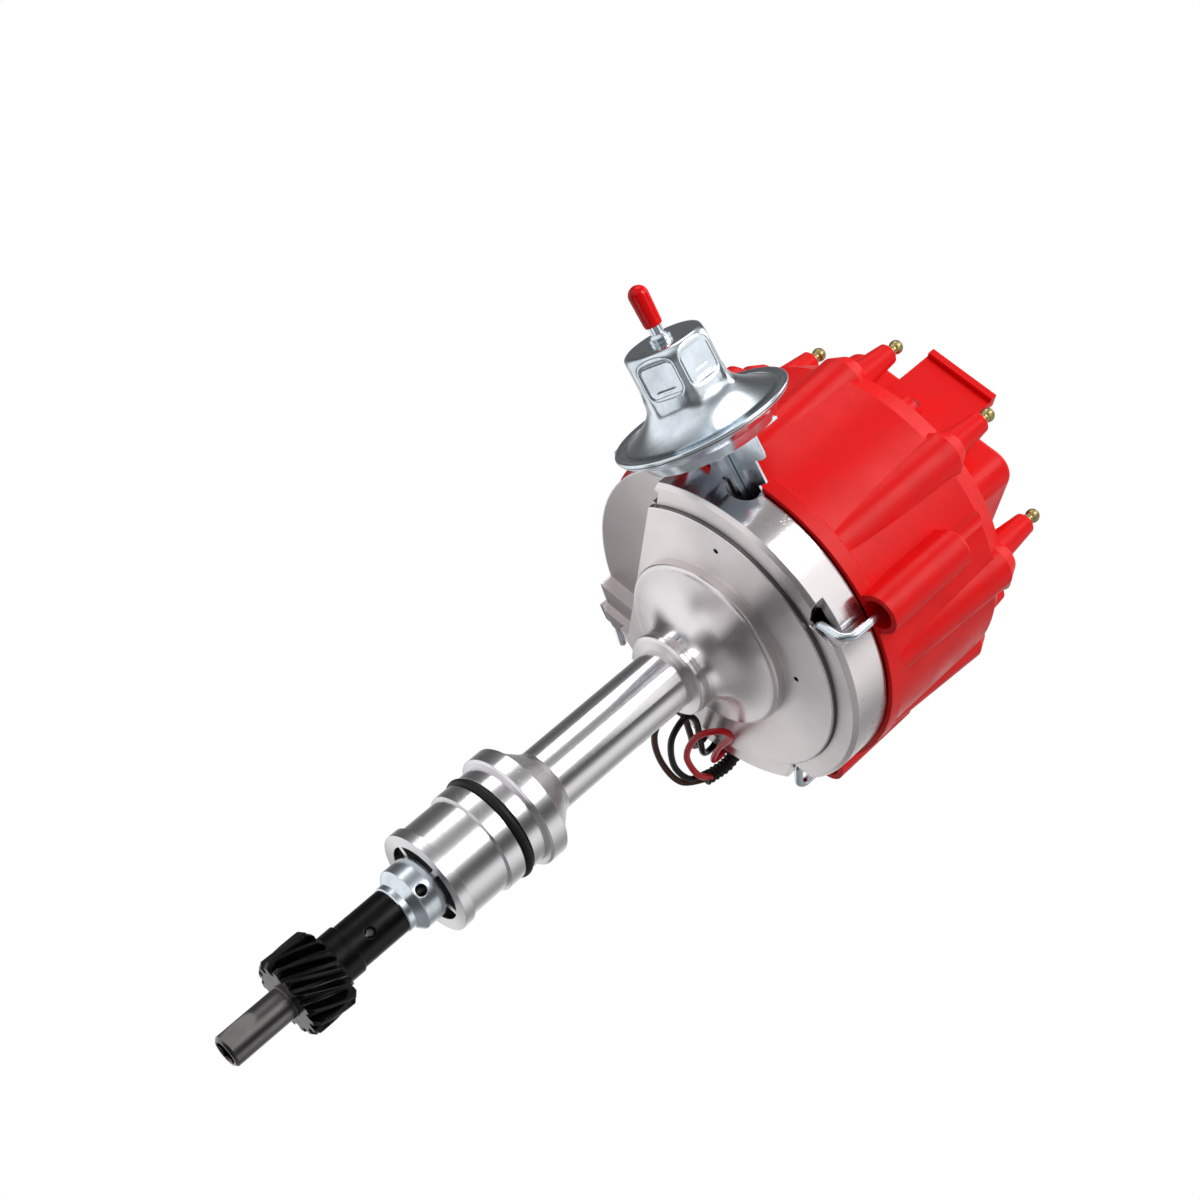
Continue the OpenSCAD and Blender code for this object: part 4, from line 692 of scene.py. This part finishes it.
# %% [markdown]
# The vacuum can, the latches and the thrust collar are plated with zinc. Fresh zinc is bluish and
# its crystals make faint clouds, so both its colour and its gloss wander slowly.

# %% Zinc plating
f = Finish("zinc_steel", (0.80, 0.88, 0.95), 0.17, 1.0)
f.wear(handling, 95.0, 0.11, 0.24, 0.70)
speckle = f.effect(skin, Grains_per_metre=1600.0)
f.bump(speckle["Grain"], 0.010).bump(speckle["Unevenness"], 0.05)
finishes["zinc_steel"] = f
print("made:", f.material.name)

# %% [markdown]
# The drive shaft is hardened and ground, which leaves very fine rings and a dark gleam. The gear
# and its hub went through a black phosphate bath, a thin skin that holds oil. The two cross pins
# share the shaft's material, but their ends are black, so a radius tells them apart.

# %% Ground steel and black iron
PIN_ENDS_FROM = 7.2

f = Finish("ground_steel", (0.19, 0.178, 0.178), 0.2, 1.0)
f.wear(handling, 150.0, 0.16, 0.27, 0.75)
rings = f.effect(lathe, Rings_per_metre=4000.0)
f.bump(rings["Fine"], 0.006).turned(0.3)
f.paint(f.mixed(f.above(f.parts()[3], PIN_ENDS_FROM), f.painted, (0.003, 0.003, 0.003)))
finishes["ground_steel"] = f

f = Finish("black_iron", (0.0015, 0.0015, 0.0015), 0.2, 0.0, 0.6 * MM)
f.set(Specular_IOR_Level=0.22)
f.wear(handling, 260.0, 0.12, 0.26, 1.8)
grain = f.effect(skin, Grains_per_metre=2600.0)
f.bump(grain["Grain"], 0.02)
finishes["black_iron"] = f
print("made:", list(finishes)[-2:])

# %% [markdown]
# The small metal pieces need no more than a colour, a gloss and the traces of handling. They are
# rows of one table: colour, roughness, metal, size of the clouds, the gloss's lowest and highest
# roughness, how much darker the clouds are, and the depth of a sintered grain where there is one.

# %% Small metal pieces
SMALL_METALS = {
    "tinned_can": ((0.66, 0.67, 0.68), 0.3, 1.0, 120.0, 0.24, 0.40, 0.90, 0),
    "plain_steel": ((0.50, 0.51, 0.53), 0.32, 1.0, 110.0, 0.26, 0.42, 0.85, 0),
    "spring_steel": ((0.55, 0.56, 0.58), 0.25, 1.0, 200.0, 0.20, 0.32, 0.90, 0),
    "bronze": ((0.60, 0.42, 0.24), 0.42, 1.0, 180.0, 0.36, 0.50, 0.80, 0.02),
    "brass": ((0.46, 0.37, 0.16), 0.3, 1.0, 240.0, 0.22, 0.42, 0.72, 0),
    "black_screw": ((0.02, 0.02, 0.021), 0.35, 0.6, 300.0, 0.28, 0.45, 1.60, 0),
}

for name, (color, roughness, metal, clouds, low, high, tint, grain) in SMALL_METALS.items():
    f = Finish(name, color, roughness, metal)
    f.wear(handling, clouds, low, high, tint)
    if grain:
        f.bump(f.effect(skin, Grains_per_metre=3000.0)["Grain"], grain)
    finishes[name] = f
print("metals:", sorted(finishes))

# %% [markdown]
# ## Plastic, rubber and the rest
# The cap is moulded in red with a fine satin skin from the tool's spark-eroded surface. Rubber
# is smoother and darker, and the cast resin of the coil is nearly matt.

# %% Plastics and others
PLASTICS = {
    "red_plastic": ((0.88, 0.004, 0.005), 0.33, 1500.0, 0.03, 0.15, 0.0),
    "rotor_plastic": ((0.66, 0.012, 0.012), 0.42, 2000.0, 0.02, 0.4, 0.0),
    "red_rubber": ((0.92, 0.001, 0.002), 0.5, 500.0, 0.0005, 0.0, 0.45),
    "black_rubber": ((0.008, 0.008, 0.008), 0.45, 1800.0, 0.015, 0.25, 0.0),
    "black_plastic": ((0.018, 0.018, 0.02), 0.42, 2000.0, 0.02, 0.5, 0.0),
    "carbon": ((0.03, 0.03, 0.03), 0.6, 2600.0, 0.03, 0.4, 0.0),
    "magnet": ((0.07, 0.07, 0.07), 0.6, 2200.0, 0.03, 0.4, 0.0),
    "lamination": ((0.05, 0.05, 0.055), 0.4, 2200.0, 0.03, 0.5, 0.0),
    "winding": ((0.14, 0.03, 0.02), 0.5, 1500.0, 0.04, 0.5, 0.2),
    "wire_red": ((0.72, 0.003, 0.018), 0.4, 1500.0, 0.003, 0.1, 0.4),
    "wire_black": ((0.003, 0.003, 0.003), 0.4, 1500.0, 0.003, 0.05, 0.35),
    "wire_brown": ((0.08, 0.026, 0.016), 0.4, 1500.0, 0.003, 0.05, 0.35),
}


def moulded(name, color, roughness, grains, depth, shine, coat):
    finish = Finish(name, color, roughness)
    finish.set(Specular_IOR_Level=shine, Coat_Weight=coat, Coat_Roughness=0.08)
    bumps = finish.effect(skin, Grains_per_metre=grains)
    finish.bump(bumps["Grain"], depth)
    finish.rough(finish.ranged(bumps["Unevenness"], roughness - 0.06, roughness + 0.08, 0.3, 0.7))
    deep = tuple(c * 0.9 for c in color)
    finish.paint(finish.mixed(finish.ranged(bumps["Unevenness"], 0, 1, 0.35, 0.7), color, deep))
    return finish


for name, setup in PLASTICS.items():
    finishes[name] = moulded(name, *setup)
print("finishes:", len(finishes))

# %% [markdown]
# ## Dressing the solids
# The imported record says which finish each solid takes, so the list isn't repeated here.

# %% Give every solid its finish
dressed = 0
for part in frame["record"]["subparts"]:
    solid = nodes[part["node"]]
    material = finishes[part["material_slot"]].material
    if not solid.material_slots:
        solid.data.materials.append(material)
    for material_slot in solid.material_slots:
        material_slot.material = material
    dressed += 1
print("solids dressed:", dressed)

# %% [markdown]
# ## Wires
# The three pickup wires leave the bowl through a grommet, loop under the housing and go up into
# a loom sleeve. A wire is a line with a thickness, so a curve with a round bevel is the natural
# tool. The points are the ones that the solids follow, joined by a smooth spline.

# %% Wires
WIRE_POINTS = {
    "black": [(-52.1, -42.2, 113.6), (-56.6, -45.8, 111), (-54.5, -42.5, 104),
              (-45, -33, 99.5), (-31.5, -21.5, 95.5), (-26, -18.5, 90.5), (-34, -28, 86),
              (-49, -40.5, 88.5), (-60.4, -45.8, 94.5), (-63.2, -45.2, 102)],
    "brown": [(-49.1, -45.6, 113.6), (-53.5, -49.8, 111), (-51.5, -47, 104),
              (-41.5, -37, 99.5), (-27.5, -25.5, 94), (-20.5, -21.5, 86.5), (-30, -32.5, 83),
              (-46, -44.4, 86.5), (-60.8, -49.4, 92.5), (-65.9, -46.3, 102)],
    "red": [(-55, -38.7, 113.6), (-59.4, -41.8, 111), (-57.5, -38.5, 104),
            (-48.5, -25.5, 101), (-40.5, -10, 98.8), (-34.6, -7.6, 95), (-35.5, -19, 91.5),
            (-46, -33.5, 91.5), (-59, -41, 96), (-64.9, -43.3, 102)],
}
WIRE_RADIUS = 1.3


def through(points, steps):
    """Points of a smooth line through the given ones."""
    given = [Vector(p) for p in points]
    ends = [given[0]] + given + [given[-1]]
    line = []
    for a, b, c, d in zip(ends, ends[1:], ends[2:], ends[3:]):
        for step in range(steps):
            t = step / steps
            line.append((2 * b + (c - a) * t + (2 * a - 5 * b + 4 * c - d) * t * t
                         + (3 * b - a - 3 * c + d) * t ** 3) / 2)
    return line + [given[-1]]


def round_line(name, line, radius, finish, sides=4):
    data = bpy.data.curves.new(name, "CURVE")
    data.dimensions = "3D"
    spline = data.splines.new("POLY")
    spline.points.add(len(line) - 1)
    for point, place in zip(spline.points, line):
        point.co = (*(place * MM), 1)
    data.bevel_depth = radius * MM
    data.bevel_resolution = sides
    data.use_fill_caps = True
    data.materials.append(finishes[finish].material)
    piece = bpy.data.objects.new(name, data)
    bpy.context.scene.collection.objects.link(piece)
    return piece


for color, points in WIRE_POINTS.items():
    wire = round_line(f"{color}_pickup_wire", through(points, 10), WIRE_RADIUS, f"wire_{color}")
    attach(wire, "housing")
    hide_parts(f"wire_{color}")
print("wires:", len(WIRE_POINTS))

# %% [markdown]
# The loom sleeve that gathers the wires is a corrugated tube. Its ribs are one sine wave along
# the line: its thickness goes up and down by seven parts in a hundred, every two millimetres.

# %% Loom sleeve
SLEEVE_POINTS = [(-64.6, -45, 100.4), (-65.2, -44.4, 105), (-64.5, -42, 111), (-61.5, -41, 118),
                 (-57.5, -45, 126), (-54, -48.5, 135), (-51.5, -51, 148), (-50.5, -52, 163),
                 (-50.3, -52, 178), (-49.5, -51.2, 189), (-47.4, -49.1, 199),
                 (-43.1, -44.6, 205.6), (-37.7, -39.0, 205.6)]
SLEEVE_RADIUS = 3.0
RIB_LENGTH = 2.0
RIB_SHARE = 0.07

line = through(SLEEVE_POINTS, 40)
sleeve = round_line("loom_sleeve", line, SLEEVE_RADIUS, "black_rubber", 5)
travelled = 0.0
for index, point in enumerate(sleeve.data.splines[0].points):
    if index:
        travelled += (line[index] - line[index - 1]).length
    point.radius = 1 - RIB_SHARE + RIB_SHARE * math.sin(2 * math.pi * travelled / RIB_LENGTH)
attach(sleeve, "housing")
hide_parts("harness_sleeve")
print("sleeve's length in mm:", round(travelled))

# %% [markdown]
# ## The pressed canister shell
# The vacuum can's cover is drawn from sheet steel in one press stroke: a rolled rim, a bell, and
# a hexagonal end whose six flats meet in soft ridges. A solid modeller gives it hard facets. Here
# each point's distance from the can's axis comes from three plain shapes, blended as a press
# blends them: the bell, a round cup, and six flats. Each flat has a shallow panel with round
# corners pressed into it. The sheet is one closed skin, 1 mm thick.

# %% Shapes of the press tool
CAN_Y = 34.1
CAN_Z = 122.8
RIM_X = 81.0
END_X = 112.5
SHEET = 1.0
FLAT_REACH = 14.6
CUP_RADIUS = 16.1
PANEL_MIDDLE = RIM_X + 22.1
PANEL_HALF = (6.3, 6.7)
PANEL_CORNER = 2.6
PANEL_DEPTH = 0.55


def soft_min(a, b, width):
    overlap = max(width - abs(a - b), 0.0) / width
    return min(a, b) - overlap * overlap * width / 4


def soft_max(a, b, width):
    return -soft_min(-a, -b, width)


def bell_radius(x):
    share = min(max((x - RIM_X - 1) / 13.5, 0), 1)
    return 15.0 + 15.0 * (1 - share) ** 2.3 - 0.5 * max(x - RIM_X - 14.5, 0)


def cup_radius(x):
    share = min(max((x - END_X + 5.5) / 5.5, 0), 1)
    return CUP_RADIUS - 3.5 * (1 - math.sqrt(1 - share * share))


def pressed_line(x, across, line_x, half_length, depth):
    ends = 1 / (1 + math.exp((abs(across) - half_length) * 4))
    return depth * ends * math.exp(-((x - line_x) / 0.42) ** 2)


def panel(x, across):
    """1 inside a panel's rounded outline, 0 outside, with a soft edge."""
    reach_x = abs(x - PANEL_MIDDLE) - PANEL_HALF[0] + PANEL_CORNER
    reach_y = abs(across) - PANEL_HALF[1] + PANEL_CORNER
    outside = math.hypot(max(reach_x, 0), max(reach_y, 0)) + min(max(reach_x, reach_y), 0)
    share = min(max((PANEL_CORNER + 0.5 - outside) / 1.2, 0), 1)
    return share * share * (3 - 2 * share)


def shell_radius(x, angle):
    side = math.floor(math.degrees(angle) / 60) % 6
    off_middle = math.radians(math.degrees(angle) % 60 - 30)
    flat = FLAT_REACH / math.cos(off_middle)
    across = FLAT_REACH * math.tan(off_middle)
    radius = soft_max(bell_radius(x), soft_min(flat, cup_radius(x), 0.7), 1.6)
    radius -= PANEL_DEPTH * panel(x, across)
    radius -= pressed_line(x, across, RIM_X + 17.7, 3.6, 0.2)
    if side % 2:
        radius -= pressed_line(x, across, RIM_X + 20.2, 3.2, 0.2)
    return radius


print("bell at the rim in mm:", round(bell_radius(RIM_X + 1), 1))

# %% [markdown]
# The skin is laid ring by ring along the can's axis: round the rolled rim, up the bell and the
# six-sided end, in to the hole for the nipple, and back inside at one sheet's thickness.

# %% Skin of the canister shell
AROUND = 288
ROLLED_RIM = [(0.2, 29.2), (0.2, 31.5), (0.25, 32.6), (0.45, 32.9), (0.8, 33.0), (1.2, 33.0),
              (1.55, 32.75), (1.7, 32.3), (1.62, 31.7), (1.42, 31.1), (1.32, 30.6)]

stations = [(RIM_X + dx, r) for dx, r in ROLLED_RIM]
steps = [RIM_X + 1.5 + 0.35 * i for i in range(71)]
steps += [END_X - 5.0 + 5.0 * math.sin(math.radians(90 * i / 12)) for i in range(13)]
stations += [(x, None) for x in steps]
stations += [(END_X, r) for r in (11.6, 9.5, 7.0, 4.6, 2.43)]
inner = [(x - SHEET, max(r, 2.43)) for x, r in stations[-4:]][::-1]
inner += [(min(x, END_X - SHEET), None) for x in steps[::-3]]
inner += [(RIM_X + 1.3, 29.4), (RIM_X + 0.9, 29.0)]

rings = []
for x, r in stations:
    ring = []
    for i in range(AROUND):
        angle = 2 * math.pi * i / AROUND
        ring.append((x, r if r else shell_radius(x, angle), angle))
    rings.append(ring)
for x, r in inner:
    ring = []
    for i in range(AROUND):
        angle = 2 * math.pi * i / AROUND
        ring.append((x, r if r else shell_radius(x, angle) - SHEET, angle))
    rings.append(ring)


def can_point(x, r, angle):
    return mm(x, CAN_Y + r * math.sin(angle), CAN_Z - r * math.cos(angle))


def ring_skin(name, rings, finish):
    """A closed skin of rings, each joined to the next and the last to the first."""
    count = len(rings[0])
    points = [point for ring in rings for point in ring]
    faces = []
    for i in range(len(rings)):
        low, high = i * count, (i + 1) % len(rings) * count
        for k in range(count):
            q = (k + 1) % count
            faces.append((low + k, low + q, high + q, high + k))
    mesh = bpy.data.meshes.new(name)
    mesh.from_pydata(points, [], faces)
    mesh.polygons.foreach_set("use_smooth", [True] * len(faces))
    mesh.materials.append(finishes[finish].material)
    work = bmesh.new()
    work.from_mesh(mesh)
    bmesh.ops.recalc_face_normals(work, faces=work.faces)
    work.to_mesh(mesh)
    work.free()
    piece = bpy.data.objects.new(name, mesh)
    bpy.context.scene.collection.objects.link(piece)
    return piece


shell = ring_skin("pressed_canister_shell", [[can_point(*p) for p in ring] for ring in rings],
                  "zinc_steel")
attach(shell, "housing")
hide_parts("canister_shell")
print("faces in the shell:", len(shell.data.polygons))

# %% [markdown]
# ## Screws of the coil cover
# Three black socket screws hold the coil's cover. Each is turned from a profile: half of its
# outline, spun once round its axis. The socket's six walls are left round, since it is 3 mm wide.

# %% Cover screws
SCREW_ANGLES = (46, 136, -44)
SCREW_REACH = 52.0
DECK_Z = 198.1
SCREW_OUTLINE = [(0, -5.4), (1.45, -5.4), (1.45, 4.25), (2.9, 4.25), (3.0, 4.4), (3.0, 8.0),
                 (2.9, 8.4), (2.6, 8.7), (1.6, 8.8), (1.45, 8.6), (1.45, 6.4), (0, 6.0)]


def turned_piece(name, outline, place, finish, steps=40):
    work = bmesh.new()
    points = [work.verts.new(mm(r, 0, z)) for r, z in outline]
    lines = [work.edges.new(pair) for pair in zip(points, points[1:])]
    bmesh.ops.spin(work, geom=points + lines, axis=(0, 0, 1), cent=(0, 0, 0),
                   angle=2 * math.pi, steps=steps, use_merge=True)
    bmesh.ops.remove_doubles(work, verts=work.verts, dist=0.00001)
    bmesh.ops.recalc_face_normals(work, faces=work.faces)
    bmesh.ops.translate(work, verts=work.verts, vec=place)
    mesh = bpy.data.meshes.new(name)
    work.to_mesh(mesh)
    work.free()
    mesh.materials.append(finishes[finish].material)
    piece = bpy.data.objects.new(name, mesh)
    bpy.context.scene.collection.objects.link(piece)
    return piece


for count, angle in enumerate(SCREW_ANGLES, start=1):
    a = math.radians(angle)
    place = mm(SCREW_REACH * math.cos(a), SCREW_REACH * math.sin(a), DECK_Z)
    screw = turned_piece(f"cover_screw_{count}", SCREW_OUTLINE, place, "black_screw")
    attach(screw, "housing")
    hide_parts("cover_screws")
print("screws:", len(SCREW_ANGLES))

# %% [markdown]
# ## Springs and the rubber diaphragm
# These hidden pieces give way when a joint moves, so one rigid solid can't show them. Each
# advance spring hooks on the cam's post at one end and on the weight plate's pin at the other.
# A coiled line becomes a mesh.

# %% Advance springs
CAM_POST = (4, 15)
PLATE_PIN = (-22, 14)
LOOP_RADIUS = 3.0
COIL_RADIUS = 1.9
COIL_TURNS = 9
COIL_STEPS = 12
SPRING_WIRE = 0.45


def circle_point(x, y, radius, degrees):
    a = math.radians(degrees)
    return (x + radius * math.cos(a), y + radius * math.sin(a), 0)


def hooked_spring(span):
    near, far = LOOP_RADIUS + 1.4, span - LOOP_RADIUS - 1.4
    line = [circle_point(0, 0, LOOP_RADIUS, -330 + 30 * i) for i in range(11)]
    count = COIL_TURNS * COIL_STEPS
    for i in range(count + 1):
        a = 2 * math.pi * i / COIL_STEPS
        line.append((near + (far - near) * i / count, COIL_RADIUS * math.cos(a),
                     COIL_RADIUS * math.sin(a)))
    return line + [circle_point(span, 0, LOOP_RADIUS, 150 - 30 * i) for i in range(11)]


def line_mesh(name, line, radius, finish, sides):
    """A wire along a line, as a mesh."""
    wire = round_line(name + "_line", [Vector(p) for p in line], radius, finish, sides)
    piece = bpy.data.objects.new(name, bpy.data.meshes.new_from_object(wire))
    bpy.data.objects.remove(wire)
    bpy.context.scene.collection.objects.link(piece)
    return piece


low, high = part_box("advance_springs")
spring_z = (low[2] + high[2]) / 2
for count in (1, 2):
    half_turn = Matrix.Rotation(math.pi * (count - 1), 4, "Z")
    post = Vector((CAM_POST[0] * MM, CAM_POST[1] * MM, spring_z))
    pin = Vector((PLATE_PIN[0] * MM, PLATE_PIN[1] * MM, spring_z))
    reach = pin - post
    spring = line_mesh(f"advance_spring_{count}", hooked_spring(reach.length / MM), SPRING_WIRE,
                       "spring_steel", 2)
    aimed = Matrix.Rotation(math.atan2(reach.y, reach.x), 4, "Z")
    spring.data.transform(half_turn @ Matrix.Translation(post) @ aimed)
    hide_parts("advance_springs")
    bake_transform(spring)
print("advance spring's length in mm:", round(reach.length / MM, 1))

# %% [markdown]
# In the vacuum can a spring pushes the diaphragm back. The spring is squashed as the rod pulls.
# In a rolling diaphragm the clamped rim stays and the middle follows the rod, so the folded ring
# between them unrolls. Here it is made as two pieces, the rim and the middle, and the rim goes
# with the housing.

# %% Return spring and diaphragm
RETURN_FROM = 81.4
RETURN_LENGTH = 29.3
RETURN_TURNS = 6
RETURN_RADIUS = 9
RETURN_WIRE = 0.8

line = []
for i in range(RETURN_TURNS * 24 + 1):
    a = 2 * math.pi * i / 24
    line.append((RETURN_FROM + RETURN_LENGTH * i / (RETURN_TURNS * 24),
                 CAN_Y + RETURN_RADIUS * math.cos(a), CAN_Z + RETURN_RADIUS * math.sin(a)))
spring = line_mesh("return_spring", line, RETURN_WIRE, "spring_steel", 3)
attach(spring, "housing")
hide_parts("vacuum_spring")
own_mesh(spring)

RUBBER = 0.5
FOLD_X = RIM_X - 3.6
DISC_X = RIM_X - 1.6
middle_line = [(0, DISC_X), (18, DISC_X), (19, DISC_X - 0.35), (20, DISC_X - 0.95),
               (21, DISC_X - 1.6), (22, FOLD_X)]
rim_line = [(22, FOLD_X), (23.8, FOLD_X + 1.2), (25.5, FOLD_X + 1.8), (28, DISC_X)]


def sheet_outline(line):
    """A line and the same line a sheet's thickness further along the can."""
    return line + [(r, x + RUBBER) for r, x in reversed(line)]


along_can = Matrix.Translation(mm(0, CAN_Y, CAN_Z)) @ Matrix.Rotation(math.pi / 2, 4, "Y")
outlines = {
    "diaphragm_middle": sheet_outline(middle_line),
    "diaphragm_rim": sheet_outline(rim_line) + [rim_line[0]],
}
for name, outline in outlines.items():
    piece = turned_piece(name, outline, mm(0, 0, 0), "black_rubber", 64)
    piece.data.transform(along_can)
    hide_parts("vacuum_diaphragm")
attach(bpy.data.objects["diaphragm_rim"], "housing")
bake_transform(bpy.data.objects["diaphragm_middle"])
print("pieces of the diaphragm:", len(outlines))
